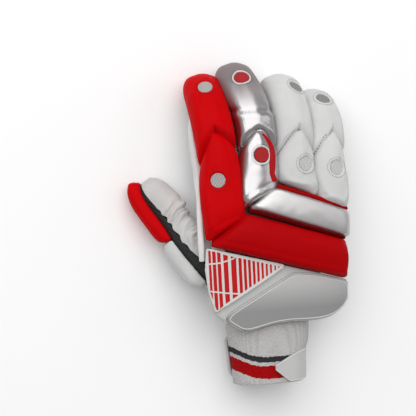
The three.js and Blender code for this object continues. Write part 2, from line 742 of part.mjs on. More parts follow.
// A point of the gauntlet, from shares of its width and of its reach below its upper edge
function onGauntlet(across, down) {
  const x = lerp(gauntlet.left, gauntlet.right, across);
  return [x, lerp(gauntlet.topLeft, gauntlet.topRight, across) - down * gauntlet.reach];
}

function gauntletBase() {
  const shares = gauntletSections.map((row) => row.across);
  const rows = 6;
  return new Sheet()
    .grid(rows, shares.length, (r, c) => {
      const at = onGauntlet(shares[c], gauntletSections[c].drop * (r / (rows - 1)));
      return seated(backArch, ...at, underArch, gap, gap + gauntlet.thick);
    })
    .geometry();
}
const onPlate = gap + gauntlet.thick + gap;

// The triangular panel, with upright ribs raised on it
function stripePanel() {
  const inset = panelInset / gauntlet.reach;
  const corner = ([across, down], moveAcross, moveDown) =>
    new Vector2(...onGauntlet(across + moveAcross * inset, down + moveDown * inset));
  const near = corner(stripeCorners.near, 0.4, 0.6);
  const apex = corner(stripeCorners.apex, 0, 0.6);
  const low = corner(stripeCorners.low, 0.4, -0.4);
  const steps = 7;
  // the edge on the thumb side bows outwards
  const bow = (v) => stripe.bow * (Math.abs(2 * v - 1) ** 3 - 1);
  const bowed = (v) => near.clone().lerp(low, v).add(new Vector2(bow(v), 0));
  const point = (u, v) => bowed(v).lerp(apex, u);
  const patch = (uFrom, uTo, columns, vFrom, vTo, rows, under, over) =>
    new Sheet().grid(rows, columns, (r, c) => {
      const u = lerp(uFrom, uTo, c / (columns - 1));
      const v = lerp(vFrom, vTo, r / (rows - 1));
      const at = point(u, v);
      return seated(backArch, at.x, at.y, underArch, under, over);
    });
  const top = onPlate + panelThick;
  let panel = patch(0, 0.97, steps, 0, 1, 4, onPlate, top).geometry();
  const border = stripe.border / gauntlet.reach;
  for (let i = 0; i < stripe.count; i++) {
    const from = 0.035 + (0.85 * i) / stripe.count;
    const room = border / (1 - from);
    const rib = patch(from, from + stripe.width, 2, room, 1 - room, 3, top - 0.6, top + stripe.raise);
    if (room < 0.42) panel = join(panel, rib.geometry());
  }
  return panel;
}

// The raised panel of the flap, on the wrist side of the striped one
function flapPanel() {
  const rows = 6;
  return new Sheet()
    .grid(rows, flapSections.length, (r, c) => {
      const section = flapSections[c];
      const at = onGauntlet(section.across, lerp(section.top, section.bottom, r / (rows - 1)));
      return seated(backArch, ...at, underArch, onPlate, onPlate + panelThick);
    })
    .geometry();
}

// One section of the thumb sleeve at a real-valued row of its table
function thumbAt(k) {
  const rows = thumbSections.map((row, i) => ({ ...row, k: i }));
  const row = rowAt(rows, "k", k);
  const axis = degToRad(90 + thumb.lean);
  const turned = axis + degToRad(row.turn);
  const along = row.along * thumb.length;
  const across = row.across * thumb.width;
  return {
    centre: new Vector3(
      thumb.root[0] + Math.cos(axis) * along + Math.sin(axis) * across,
      thumb.root[1] + Math.sin(axis) * along - Math.cos(axis) * across,
      thumb.tipRise + thumb.rootRise * row.lift,
    ),
    inward: new Vector3(Math.sin(turned), -Math.cos(turned), 0),
    half: (thumb.width / 2) * row.wide,
    deep: (thumb.depth / 2) * row.deep,
    square: row.square,
  };
}

// The thumb's outer skin: the angle is 0 on the pad's line and 90 on the upper side
function thumbSkin(k, angle) {
  const t = thumbAt(k);
  const a = degToRad(angle);
  const point = t.centre.clone().addScaledVector(t.inward, -t.half * bulge(Math.cos(a), t.square));
  point.z += t.deep * bulge(Math.sin(a), t.square);
  return point;
}
const thumbCentre = (k) => thumbAt(Math.min(k, thumbSections.length - 2)).centre;

function thumbPoint(k, angle, [under, over]) {
  return seated(thumbSkin, k, angle, thumbCentre, under, over);
}

const THUMB_ROWS = thumbSections.map((row, k) => k);
const seamAngle = 1.3;

function thumbSheet(columns, edges, wall) {
  return new Sheet()
    .grid(THUMB_ROWS.length, columns, (r, c) => {
      const [from, to] = edges(thumbSeams[r]);
      return thumbPoint(r, lerp(from, to, c / (columns - 1)), wallPair(0, wall));
    })
    .geometry();
}

function thumbPieces() {
  const leather = thumbSheet(9, (seam) => [seam.upper + seamAngle, seam.lower - seamAngle], leatherWall);
  const mesh = thumbSheet(8, (seam) => [seam.lower + seamAngle - 360, seam.upper - seamAngle], meshWall);
  piece("thumb_leather", leather, "leather");
  piece("thumb_mesh", mesh, "mesh");
  piece("thumb_pad_upper", thumbPadSolid([3.03, 3.25, 4, 5, 6, 7, 7.6, 8]), "redPad");
  piece("thumb_pad_lower", thumbPadSolid([0.5, 0.75, 1, 2, 2.7, 2.95]), "whitePad");
}

// A thumb pad over the listed real-valued rows of the thumb's table, thinner at its two ends
function thumbPadSolid(rows) {
  const turns = [-1, -0.7, -0.35, 0, 0.35, 0.7, 1];
  const across = [0.3, 0.82, 0.98, 1, 0.98, 0.82, 0.3];
  const last = rows.length - 1;
  return new Sheet()
    .grid(rows.length, turns.length, (r, c) => {
      const end = r === 0 || r === last ? 0.45 : r === 1 || r === last - 1 ? 0.88 : 1;
      const over = seatGap + thumbPad.height * across[c] * end;
      return thumbPoint(rows[r], thumbPad.centre + turns[c] * thumbPad.half, [seatGap, over]);
    })
    .geometry();
}

// The cuff's outer skin, at a share of its length below the palm's wrist seam
function cuffSkin(along, angle, out = 0) {
  const row = rowAt(cuffSections, "along", clamp(along, 0, 1));
  const a = degToRad(angle);
  return new Vector3(
    cuff.shift + ((cuff.width / 2) * row.wide + out) * bulge(Math.cos(a), cuff.squareness),
    -palm.length + cuff.tuck - along * (cuff.length + cuff.tuck),
    wristRise + ((cuff.height / 2) * row.deep + out) * bulge(Math.sin(a), cuff.squareness),
  );
}

function wristCuff() {
  const rows = cuffSections.map((row) => row.along);
  return new Sheet()
    .grid(rows.length, cuff.segments + 1, (r, c) => {
      const angle = (360 * (c % cuff.segments)) / cuff.segments;
      return [cuffSkin(rows[r], angle, -towelWall), cuffSkin(rows[r], angle)];
    })
    .geometry();
}

function wristStrap() {
  const rows = 4;
  return new Sheet()
    .grid(rows, strapSections.length, (r, c) => {
      const section = strapSections[c];
      const angle = ((strap.from - c) * 360) / cuff.segments;
      const along = lerp(section.top, section.bottom, r / (rows - 1));
      return [cuffSkin(along, angle, seatGap), cuffSkin(along, angle, seatGap + strap.thick)];
    })
    .geometry();
}

// An eight-sided flat badge on the strap, under the wrist, where the glove rests on its face
function strapBadge() {
  const outline = new THREE.Shape();
  for (let corner = 0; corner < 8; corner++) {
    const a = degToRad(22.5 + 45 * corner);
    const at = [badge.halfWidth * Math.cos(a), badge.halfLength * Math.sin(a)];
    if (corner === 0) outline.moveTo(...at);
    else outline.lineTo(...at);
  }
  const plate = new THREE.ExtrudeGeometry(outline, { depth: badge.thick, bevelEnabled: false });
  return plate.translate(cuff.shift + badge.aside, cuffSkin(badge.along, 0).y, 0);
}

// The padded strip beside the index finger: on the finger's thumb side, then beside the index pad on the hand
function sideGuard() {
  const f = fingers[0];
  const across = [0, 0.5, 1];
  const rows = 12;
  const toFinger = (s) => smoothstep(s, -22, 12);
  const skin = (s, t) => {
    const onFinger = fingerSkin(f, s, lerp(-75, -118, t));
    const edge = backArch(lerp(guard.inner, guard.outer, t), Math.min(s, 0));
    edge.y = s;
    return edge.lerp(onFinger, toFinger(s));
  };
  const centre = (s) => f.at(s);
  return new Sheet()
    .grid(rows, across.length, (r, c) => {
      const t = r / (rows - 1);
      const s = lerp(guard.from, guard.to, t);
      const thick = lerp(guard.onHand, guard.onFinger, toFinger(s));
      const full = (0.45 + 0.55 * (1 - Math.abs(2 * t - 1) ** 8)) * (c === 1 ? 1 : 0.75);
      return seated(skin, s, across[c], centre, gap, gap + thick * full);
    })
    .geometry();
}

palmLeathers();
piece("heel_patch", heelPatch(), "leather");
backLiners();
for (const f of fingers) piece(f.name + "_gusset", gusset(f), "mesh");
for (let i = 0; i + 1 < fingers.length; i++)
  piece("finger_web_" + (i + 1), fingerWeb(fingers[i], fingers[i + 1]), "mesh");
for (const f of fingers) fingerPads(f);
piece("side_guard", sideGuard(), "whitePad");
backRolls();
piece("gauntlet", gauntletBase(), "gauntlet");
piece("stripe_panel", stripePanel(), "redPad");
piece("flap_panel", flapPanel(), "gauntlet");
thumbPieces();
piece("wrist_cuff", wristCuff(), "towel");
piece("wrist_strap", wristStrap(), "gauntlet");
piece("strap_badge", strapBadge(), "badge");

// The origin goes under the middle of the glove, on the surface that it lies on
const box = new THREE.Box3().setFromObject(glove);
const middle = box.getCenter(new Vector3());
glove.position.set(-middle.x, -middle.y, -box.min.z);

export default glove;
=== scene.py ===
import math
import bpy
import numpy as np
from mathutils import Matrix, Vector, noise
from mathutils.bvhtree import BVHTree


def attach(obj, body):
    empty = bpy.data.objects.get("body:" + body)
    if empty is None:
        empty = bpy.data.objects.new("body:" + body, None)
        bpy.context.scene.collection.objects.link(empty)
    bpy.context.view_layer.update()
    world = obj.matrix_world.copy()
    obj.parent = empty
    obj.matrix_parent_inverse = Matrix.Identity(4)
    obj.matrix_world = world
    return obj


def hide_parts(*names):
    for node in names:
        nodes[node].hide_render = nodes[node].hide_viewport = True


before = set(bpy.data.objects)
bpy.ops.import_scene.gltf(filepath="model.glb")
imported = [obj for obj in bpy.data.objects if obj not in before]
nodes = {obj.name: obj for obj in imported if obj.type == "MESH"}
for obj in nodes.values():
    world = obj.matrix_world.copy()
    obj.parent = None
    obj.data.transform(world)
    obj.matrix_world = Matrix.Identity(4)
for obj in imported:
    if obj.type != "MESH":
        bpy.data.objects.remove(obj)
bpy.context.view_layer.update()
mm = 0.001
# the CAD source puts the origin under the glove, and the places below count from the middle knuckles
knuckles = Vector((28.21, 31.43, 0)) * mm
fingerNames = ["index", "middle", "ring", "little"]

copying = {
    "merge": 0.03,  # corners of a CAD solid this near, in millimetres, become one
    "joinGap": 0.45,  # the same between two pieces of one skin
    "bend": 70,  # the most, in degrees, between two triangles that become a quad
}
probe = {"step": 0.4, "ahead": 0.3}  # how finely edges and directions are looked for, in millimetres


def pickUp(obj):
    # alone selected and active
    bpy.ops.object.select_all(action="DESELECT")
    obj.select_set(True)
    bpy.context.view_layer.objects.active = obj


def finishModifiers(obj):
    pickUp(obj)
    for modifier in list(obj.modifiers):
        bpy.ops.object.modifier_apply(modifier=modifier.name)


def copyOf(node, name):
    # a CAD node's mesh in an object of its own, with quads where its triangles pair up
    mesh = nodes[node].data.copy()
    mesh.materials.clear()
    obj = bpy.data.objects.new(name, mesh)
    bpy.context.scene.collection.objects.link(obj)
    pickUp(obj)
    bpy.ops.object.mode_set(mode="EDIT")
    bpy.ops.mesh.select_all(action="SELECT")
    bpy.ops.mesh.remove_doubles(threshold=copying["merge"] * mm)
    bend = math.radians(copying["bend"])
    bpy.ops.mesh.tris_convert_to_quads(face_threshold=bend, shape_threshold=math.pi)
    bpy.ops.object.mode_set(mode="OBJECT")
    return obj


def creaseEdges(obj, angle, amount):
    pickUp(obj)
    bpy.ops.object.mode_set(mode="EDIT")
    bpy.ops.mesh.select_mode(type="EDGE")
    bpy.ops.mesh.select_all(action="DESELECT")
    bpy.ops.mesh.edges_select_sharp(sharpness=math.radians(angle))
    bpy.ops.transform.edge_crease(value=amount)
    bpy.ops.object.mode_set(mode="OBJECT")


def subdivide(obj, levels):
    modifier = obj.modifiers.new("round", "SUBSURF")
    modifier.levels = modifier.render_levels = levels
    finishModifiers(obj)


def remesh(obj, voxel):
    modifier = obj.modifiers.new("skin", "REMESH")
    modifier.mode = "VOXEL"
    modifier.voxel_size = voxel * mm
    finishModifiers(obj)


def relax(obj, factor, rounds):
    modifier = obj.modifiers.new("relax", "SMOOTH")
    modifier.factor = factor
    modifier.iterations = rounds
    finishModifiers(obj)


def pointsOf(obj):
    flat = np.empty(len(obj.data.vertices) * 3, np.float32)
    obj.data.vertices.foreach_get("co", flat)
    return flat.reshape(-1, 3).astype(float)


def normalsOf(obj):
    flat = np.empty(len(obj.data.vertices) * 3, np.float32)
    obj.data.vertex_normals.foreach_get("vector", flat)
    return flat.reshape(-1, 3).astype(float)


def putPoints(obj, points):
    obj.data.vertices.foreach_set("co", points.astype(np.float32).ravel())
    obj.data.update()


def softNoise(points, size, stretch=(1, 1, 1), seed=0.0):
    scaled = points / (np.array(stretch) * size * mm) + seed
    return np.array([noise.noise(Vector(p)) for p in scaled])


def localOf(points):
    # places in millimetres from the knuckles
    return (points - np.array(knuckles)) / mm


def swell(obj, amount):
    # the amounts are in millimetres along each normal
    putPoints(obj, pointsOf(obj) + normalsOf(obj) * amount[:, None] * mm)


def easeStep(low, high, value):
    # 0 before low and 1 after high, with a smooth climb between them
    t = np.clip((value - low) / (high - low), 0, 1)
    return t * t * (3 - 2 * t)


def shadeSoft(obj, angle=50):
    pickUp(obj)
    bpy.ops.object.shade_smooth_by_angle(angle=math.radians(angle))


def dress(obj, material, slot, *replaced):
    obj.data.materials.clear()
    obj.data.materials.append(material)
    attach(obj, "root")
    if replaced:
        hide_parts(*replaced)


def surfaceOf(obj):
    return BVHTree.FromPolygons([v.co for v in obj.data.vertices], [p.vertices for p in obj.data.polygons])


def dropOn(surface, x, y, side=1):
    # the point where a surface is met from above, or from below for side -1, and its normal there
    return surface.ray_cast(Vector((x, y, side)), Vector((0, 0, -side)))[:2]


def smoothPath(points, rounds=3, closed=False):
    # each point moves towards its two neighbours, and open ends stay
    path = np.array(points)
    for _ in range(rounds):
        before, after = np.roll(path, 1, axis=0), np.roll(path, -1, axis=0)
        eased = (before + 2 * path + after) / 4
        if not closed:
            eased[0], eased[-1] = path[0], path[-1]
        path = eased
    return path


def walk(points, step, closed=False):
    # evenly spaced places along a path, with its direction at each
    path = np.array(points)
    if closed:
        path = np.vstack([path, path[:1]])
    lengths = np.linalg.norm(np.diff(path, axis=0), axis=1)
    run = np.concatenate([[0], np.cumsum(lengths)])
    count = max(2, int(run[-1] / (step * mm)))
    at = (np.arange(count) + 0.5) * run[-1] / count
    places = np.stack([np.interp(at, run, path[:, k]) for k in range(3)], axis=1)
    further = at + probe["ahead"] * mm
    ahead = np.stack([np.interp(further, run, path[:, k]) for k in range(3)], axis=1) - places
    return places, ahead / np.maximum(np.linalg.norm(ahead, axis=1), 1e-9)[:, None]


def inwardOf(along):
    # directions across the given ones, to their left
    left = np.stack([-along[:, 1], along[:, 0]], axis=1)
    return left / np.maximum(np.linalg.norm(left, axis=1), 1e-9)[:, None]


def outlineOf(surface, box, inset, count=220):
    # the outline seen from above, found outwards from the middle, then moved in by millimetres
    low, high = box
    middle = (low + high) / 2
    reach = np.linalg.norm(high - low)
    rim = []
    for turn in np.linspace(0, 2 * math.pi, count, endpoint=False):
        way = np.array([math.cos(turn), math.sin(turn)])
        tries = np.arange(0, reach, probe["step"] * mm)
        far = [r for r in tries if dropOn(surface, *(middle + way * r))[0]]
        rim.append(middle + way * (far[-1] if far else 0))
    rim = smoothPath(rim, 4, closed=True)
    return rim + inwardOf(np.roll(rim, -2, axis=0) - np.roll(rim, 2, axis=0)) * inset * mm


def flatBox(obj):
    # the lowest and highest corner in x and y
    points = pointsOf(obj)[:, :2]
    return points.min(axis=0), points.max(axis=0)


def laid(surface, outline, lift, side=1):
    # an outline dropped on a surface from above or below, raised off it in millimetres
    dropped = [dropOn(surface, x, y, side) for x, y in outline]
    return [tuple(place + normal * lift * mm) for place, normal in dropped if place]


stitch = {"length": 1.3, "width": 0.5, "height": 0.4, "step": 2.0}


def meshPiece(name, points, faces, material, slot):
    mesh = bpy.data.meshes.new(name)
    mesh.from_pydata(points, [], faces)
    obj = bpy.data.objects.new(name, mesh)
    bpy.context.scene.collection.objects.link(obj)
    shadeSoft(obj, 60)
    dress(obj, material, slot)
    return obj


def shapeAdded():
    # the points and faces of the form just added, which goes away again
    form = bpy.context.active_object
    points, faces = pointsOf(form), [tuple(p.vertices) for p in form.data.polygons]
    bpy.data.objects.remove(form)
    return points, faces


def stitches(name, path, material, slot, closed=False, surface=None, size=1.0):
    # one bead for each stitch, turned along its seam and laid flat on the surface
    bpy.ops.mesh.primitive_uv_sphere_add(segments=6, ring_count=4, radius=0.5 * mm)
    bead, faces = shapeAdded()
    shape = bead * np.array([stitch["length"], stitch["width"], stitch["height"]]) * size
    points, beads = [], []
    for place, ahead in zip(*walk(path, stitch["step"] * size, closed)):
        normal = Vector((0, 0, 1))
        if surface:
            near = surface.find_nearest(Vector(place))
            normal = near[1] if near[1] is not None else normal
        front = Vector(ahead)
        side = normal.cross(front).normalized()
        up = front.cross(side).normalized()
        turn = np.array([front, side, up])
        beads += [tuple(i + len(points) for i in face) for face in faces]
        points += [tuple(p) for p in shape @ turn + place]
    return meshPiece(name, points, beads, material, slot)


def dots(name, places, surface, radius, material, slot):
    # round punched holes, shown as thin dark discs on the leather
    bpy.ops.mesh.primitive_cylinder_add(vertices=10, radius=radius * mm, depth=0.2 * mm)
    shape, faces = shapeAdded()
    points, discs = [], []
    for place in places:
        _, normal, _, _ = surface.find_nearest(Vector(place))
        turn = np.array(normal.to_track_quat("Z", "Y").to_matrix())
        discs += [tuple(i + len(points) for i in face) for face in faces]
        points += [tuple(q) for q in shape @ turn.T + place]
    return meshPiece(name, points, discs, material, slot)


def cord(name, path, radius, material, slot, closed=False):
    # a round cord or piping along a path, made a mesh
    curve = bpy.data.curves.new(name, "CURVE")
    curve.dimensions = "3D"
    curve.bevel_depth = radius * mm
    curve.bevel_resolution = 2
    curve.use_fill_caps = not closed
    spline = curve.splines.new("POLY")
    spline.points.add(len(path) - 1)
    for point, place in zip(spline.points, path):
        point.co = (*place, 1)
    spline.use_cyclic_u = closed
    obj = bpy.data.objects.new(name, curve)
    bpy.context.scene.collection.objects.link(obj)
    pickUp(obj)
    bpy.ops.object.convert(target="MESH")
    shadeSoft(obj, 60)
    dress(obj, material, slot)
    return obj


class Finish:
    # a material under construction: its shader, the place that its textures read, and its bump so far
    def __init__(self, name, color, roughness, **sockets):
        self.material = bpy.data.materials.new(name)
        self.material.use_nodes = True
        self.tree = self.material.node_tree
        self.shader = self.tree.nodes["Principled BSDF"]
        self.color = color
        self.shader.inputs["Base Color"].default_value = (*color, 1)
        self.shader.inputs["Roughness"].default_value = roughness
        for socket, value in sockets.items():
            self.shader.inputs[socket.replace("_", " ")].default_value = value
        self.place = self.node("ShaderNodeTexCoord").outputs["Object"]
        self.normal = None

    def node(self, kind, **values):
        made = self.tree.nodes.new(kind)
        for key, value in values.items():
            setattr(made, key, value)
        return made

    def link(self, a, b):
        self.tree.links.new(a, b)

    def math(self, operation, *values):
        made = self.node("ShaderNodeMath", operation=operation)
        for socket, value in zip(made.inputs, values):
            if isinstance(value, (int, float)):
                socket.default_value = value
            else:
                self.link(value, socket)
        return made.outputs[0]

    def placed(self, scale=(1, 1, 1), turn=(0, 0, 0)):
        mapping = self.node("ShaderNodeMapping")
        self.link(self.place, mapping.inputs["Vector"])
        mapping.inputs["Scale"].default_value = scale
        mapping.inputs["Rotation"].default_value = [math.radians(t) for t in turn]
        return mapping.outputs["Vector"]

    def noise(self, size, detail=2.0, scale=(1, 1, 1), turn=(0, 0, 0)):
        made = self.node("ShaderNodeTexNoise")
        self.link(self.placed(scale, turn), made.inputs["Vector"])
        made.inputs["Scale"].default_value = 1 / (size * mm)
        made.inputs["Detail"].default_value = detail
        return made.outputs["Fac"]

    def cells(self, size, scale=(1, 1, 1), turn=(0, 0, 0), random=0.1):
        made = self.node("ShaderNodeTexVoronoi")
        self.link(self.placed(scale, turn), made.inputs["Vector"])
        made.inputs["Scale"].default_value = 1 / (size * mm)
        made.inputs["Randomness"].default_value = random
        return made.outputs["Distance"]

    def axes(self):
        made = self.node("ShaderNodeSeparateXYZ")
        self.link(self.place, made.inputs[0])
        return made.outputs

    def between(self, value, low, high):
        # 0 at low and 1 at high
        made = self.node("ShaderNodeMapRange")
        self.link(value, made.inputs["Value"])
        made.inputs["From Min"].default_value = low
        made.inputs["From Max"].default_value = high
        return made.outputs[0]

    def bump(self, height, depth, strength=1.0):
        made = self.node("ShaderNodeBump")
        made.inputs["Strength"].default_value = strength
        made.inputs["Distance"].default_value = depth * mm
        self.link(height, made.inputs["Height"])
        if self.normal:
            self.link(self.normal, made.inputs["Normal"])
        self.normal = made.outputs["Normal"]
        self.link(self.normal, self.shader.inputs["Normal"])

    def ramp(self, factor, low, high, colorLow, colorHigh):
        made = self.node("ShaderNodeValToRGB")
        self.link(factor, made.inputs["Fac"])
        made.color_ramp.elements[0].position = low
        made.color_ramp.elements[1].position = high
        made.color_ramp.elements[0].color = (*colorLow, 1)
        made.color_ramp.elements[1].color = (*colorHigh, 1)
        return made.outputs["Color"]

    def mix(self, factor, a, b, blend="MIX"):
        made = self.node("ShaderNodeMix", data_type="RGBA", blend_type=blend)
        self.link(factor, made.inputs["Factor"])
        for socket, value in ((made.inputs[6], a), (made.inputs[7], b)):
            if isinstance(value, tuple):
                socket.default_value = (*value, 1)
            else:
                self.link(value, socket)
        return made.outputs[2]

    def paint(self, color):
        self.link(color, self.shader.inputs["Base Color"])


def paintOf(obj, values, attribute="paint"):
    paint = obj.data.attributes.new(attribute, "FLOAT", "POINT")
    paint.data.foreach_set("value", values.astype(np.float32))


def painted(finish, over, attribute="paint", blur=0.15):
    # mixes a second colour in where the piece's own attribute says so
    paint = finish.node("ShaderNodeAttribute", attribute_name=attribute)
    share = finish.between(paint.outputs["Fac"], 0.5 - blur, 0.5 + blur)
    under = finish.shader.inputs["Base Color"]
    color = under.links[0].from_socket if under.links else finish.color
    finish.paint(finish.mix(share, color, over))
    return share


def shade(color, by):
    return tuple(c * by for c in color)


# sizes of the patches, waves and grain of coated leather, with the waves' depth
coat = {"patch": 22, "patchShade": 0.93, "wave": 9, "waveDepth": 0.25, "grain": 0.8}


def coated(name, color, roughness=0.42, grain=0.05, shine=0.25):
    # coated leather over foam: an even colour, a fine grain and a slow unevenness
    finish = Finish(name, color, roughness, Specular_IOR_Level=shine)
    patches = finish.noise(coat["patch"])
    finish.paint(finish.ramp(patches, 0.3, 0.7, shade(color, coat["patchShade"]), color))
    finish.bump(finish.noise(coat["wave"]), coat["waveDepth"], 0.5)
    finish.bump(finish.noise(coat["grain"], 3), grain)
    return finish.material


# the same for soft leather, which has wrinkles and pores
soft = {"patch": 16, "patchShade": 0.86, "wrinkle": 5, "pore": 0.9, "poreDepth": 0.06}


def softLeather(name, color, wrinkle=0.35, roughness=0.55):
    finish = Finish(name, color, roughness)
    patches = finish.noise(soft["patch"], 4)
    finish.paint(finish.ramp(patches, 0.25, 0.7, shade(color, soft["patchShade"]), color))
    finish.bump(finish.noise(soft["wrinkle"], 4, scale=(1, 1.6, 1)), wrinkle)
    finish.bump(finish.cells(soft["pore"], random=1.0), soft["poreDepth"])
    return finish.material


foilLook = {
    "tipMetal": 0.2,  # how metallic the foil still is over the fingertip
    "tipRoughening": 0.2,
    "crumple": 24,
    "grain": 1.2,
    "grainDepth": 0.03,
}


def foil(name, color, dull, tip, crumple=1.2, rough=0.32):
    # silver foil, duller and darker over the fingertip
    finish = Finish(name, color, 0.3, Specular_IOR_Level=0.15)
    over = finish.between(finish.axes()[1], *tip)
    finish.paint(finish.mix(over, color, dull))
    metal = finish.math("MULTIPLY_ADD", over, foilLook["tipMetal"] - 1, 1.0)
    finish.link(metal, finish.shader.inputs["Metallic"])
    worn = finish.math("MULTIPLY_ADD", over, foilLook["tipRoughening"], rough)
    finish.link(worn, finish.shader.inputs["Roughness"])
    finish.bump(finish.noise(foilLook["crumple"], 1, scale=(1, 0.5, 1)), crumple, 0.6)
    finish.bump(finish.noise(foilLook["grain"], 2), foilLook["grainDepth"], 0.5)
    return finish


meshTurn = (20, 35, 45)  # degrees that the rows of holes are turned, so that they cross every surface


def openMesh(name, color, hole, depth=0.35, holeColor=0.35):
    # knitted mesh: pale threads round holes of the given size
    finish = Finish(name, color, 0.8)
    cells = finish.cells(hole, turn=meshTurn)
    finish.paint(finish.ramp(cells, 0.25, 0.5, shade(color, holeColor), color))
    finish.bump(cells, depth)
    return finish.material


print("glove: tools ready")

red = (0.56, 0.001, 0.003)
white = (0.62, 0.62, 0.615)
redPad = coated("redCoatedLeather", red, 0.5, shine=0.03)
rollRed = coated("redRollLeather", shade(red, 0.76), 0.5, shine=0.04)
whitePad = coated("whiteCoatedLeather", white, shine=0.15)
gauntletWhite = coated("gauntletLeather", (0.54, 0.54, 0.535), 0.45)


# the flap's painted shade, standing in for its slope away from the light: its upper edge, the length that
# it darkens over, and its colours there and below
flapShade = {"top": -84, "over": 38, "pale": (0.5, 0.495, 0.49), "dark": (0.27, 0.27, 0.272)}


def flapPaintedShadeLeather():
    # grey-white leather with painted shade that darkens it down the flap, where the real flap slopes away
    # from the light
    finish = Finish("flapPaintedShadeLeather", flapShade["dark"], 0.42, Specular_IOR_Level=0.2)
    over = flapShade["over"] * mm
    start = knuckles.y + flapShade["top"] * mm
    down = finish.math("MULTIPLY_ADD", finish.axes()[1], -1 / over, start / over)
    finish.paint(finish.ramp(down, 0.0, 0.6, flapShade["pale"], flapShade["dark"]))
    finish.bump(finish.noise(coat["wave"]), 0.2, 0.5)
    finish.bump(finish.noise(coat["grain"], 3), 0.05)
    return finish.material


flapGreyPaintedShade = flapPaintedShadeLeather()
guardWhite = coated("guardLeather", (0.76, 0.75, 0.74), 0.4)
silver = {
    "bar": (0.56, 0.545, 0.545),
    # the lip's colour is a lighter copy of the finger's foil, a painted highlight along the seam's lip and
    # ridge
    "lip": (0.72, 0.7, 0.7),
    "finger": (0.5, 0.485, 0.49),
    "fingertip": (0.235, 0.195, 0.2),
    "rim": (0.6, 0.6, 0.59),  # painted round its vents
    "strip": (0.4, 0.001, 0.002),  # and down the lower pad
    "tipZone": (42, 16),  # it turns dull between these distances from the end of the pad
}


def fingerFoil(tip):
    # the silver finger's foil, with its white rims and red strip, where the metal is covered
    finish = foil("trimmedFoil", silver["finger"], silver["fingertip"], tip)
    for attribute, over in (("rimPaint", silver["rim"]), ("redPaint", silver["strip"])):
        bare = finish.math("SUBTRACT", 1.0, painted(finish, over, attribute))
        metal = finish.shader.inputs["Metallic"]
        finish.link(finish.math("MULTIPLY", metal.links[0].from_socket, bare), metal)
    return finish.material


tipEnd = pointsOf(nodes["middle_upper_pad"])[:, 1].max()
tipZone = [tipEnd - away * mm for away in silver["tipZone"]]
fingerSilver = fingerFoil(tipZone)
barSilver = foil("barFoil", silver["bar"], silver["bar"], tipZone, 0.35, 0.42).material
# a lighter copy of the foil for the lip and ridge cords: painted highlight
paintedHighlightSilver = foil("paintedHighlightFoil", silver["lip"], silver["lip"], tipZone).material
pipingRed = coated("redPiping", (0.33, 0.001, 0.002), 0.55, shine=0.04)
pipingDark = coated("darkRedPiping", (0.17, 0.001, 0.002), 0.6, shine=0.03)
palmLeather = softLeather("palmLeather", (0.58, 0.57, 0.56), 0.6)
heelLeather = softLeather("heelLeather", (0.6, 0.6, 0.59), 0.2, 0.5)
blackMesh = openMesh("blackMesh", (0.012, 0.013, 0.012), 1.3)
netMesh = openMesh("netMesh", (0.022, 0.024, 0.023), 2.4, 0.6, 0.15)
greyVent = openMesh("greyVentMesh", (0.42, 0.40, 0.39), 0.9, 0.25, 0.45)
darkVent = openMesh("darkVentMesh", (0.25, 0.24, 0.24), 0.9, 0.25, 0.6)
whiteVent = openMesh("whiteVentMesh", (0.62, 0.61, 0.6), 1.3, 0.45, 0.5)
redVent = openMesh("redVentMesh", (0.42, 0.004, 0.008), 0.9, 0.2, 0.5)
badgeRed = coated("badgeRubber", (0.45, 0.002, 0.006), 0.4, shine=0.15)


def linerFabric():
    # coated fabric, dark where its piece is painted as shaded
    finish = Finish("coatedFabric", (0.66, 0.66, 0.65), 0.55, Specular_IOR_Level=0.2)
    finish.bump(finish.noise(coat["grain"], 3), 0.08)
    painted(finish, (0.05, 0.045, 0.045))
    return finish.material


linerWhite = linerFabric()
# the material and the record's slot of each finger's pads and vents
padLooks = {
    "index": (redPad, "red_pad"),
    "middle": (fingerSilver, "silver"),
    "ring": (whitePad, "white_pad"),
    "little": (whitePad, "white_pad"),
}
ventLooks = {
    "index": {"upper": (greyVent, "grey_vent"), "lower": (greyVent, "grey_vent")},
    "middle": {"upper": (redVent, "red_vent"), "lower": (redVent, "red_vent")},
    "ring": {"upper": (darkVent, "grey_vent"), "lower": (whiteVent, "grey_vent")},
    "little": {"upper": (darkVent, "grey_vent"), "lower": (whiteVent, "grey_vent")},
}

foam = {
    "voxel": 0.7,
    "corner": 48,  # degrees from which an edge of the CAD solid is a corner
    "edge": 0.8,  # how firmly the corners are kept
    "relax": 6,
    "swell": 0.35,
    "turned": (0.35, 0.9),  # how far a face looks along a direction when it starts to swell that way
    # how much further a finger pad swells across the hand, and towards the fingertips and the wrist
    "across": 2.1,
    "upper": {"index": (0.8, 0.6), "middle": (1.7, 0.6), "ring": (2.0, 0.6), "little": (1.6, 0.6)},
    "lower": {"index": (0, 2.8), "middle": (0, 4.2), "ring": (0, 2.8), "little": (0, 2.8)},
    "fill": 0.45,
    "ripple": 0.22,
    "rippleSize": 9,
}


def foamPiece(node, name, material, slot, edge, sides):
    # a foam piece in its coated leather, swollen between its seams
    obj = copyOf(node, name)
    creaseEdges(obj, foam["corner"], edge)
    subdivide(obj, 2)
    remesh(obj, foam["voxel"])
    normals = normalsOf(obj)
    ways = np.stack([np.abs(normals[:, 0]), normals[:, 1], -normals[:, 1]], axis=1)
    swell(obj, foam["swell"] + easeStep(*foam["turned"], ways) @ np.array(sides))
    relax(obj, 0.5, foam["relax"])
    swell(obj, foam["ripple"] * softNoise(pointsOf(obj), foam["rippleSize"], seed=len(node)))
    shadeSoft(obj)
    dress(obj, material, slot, node)
    return obj


def ventAxis(node):
    # the middle of a vent's disc, and the way it faces
    points = pointsOf(nodes[node])
    centre = points.mean(axis=0)
    spread = np.linalg.svd(points - centre)[2]
    axis = spread[2] * (1 if spread[2][2] > 0 else -1)
    return centre, axis


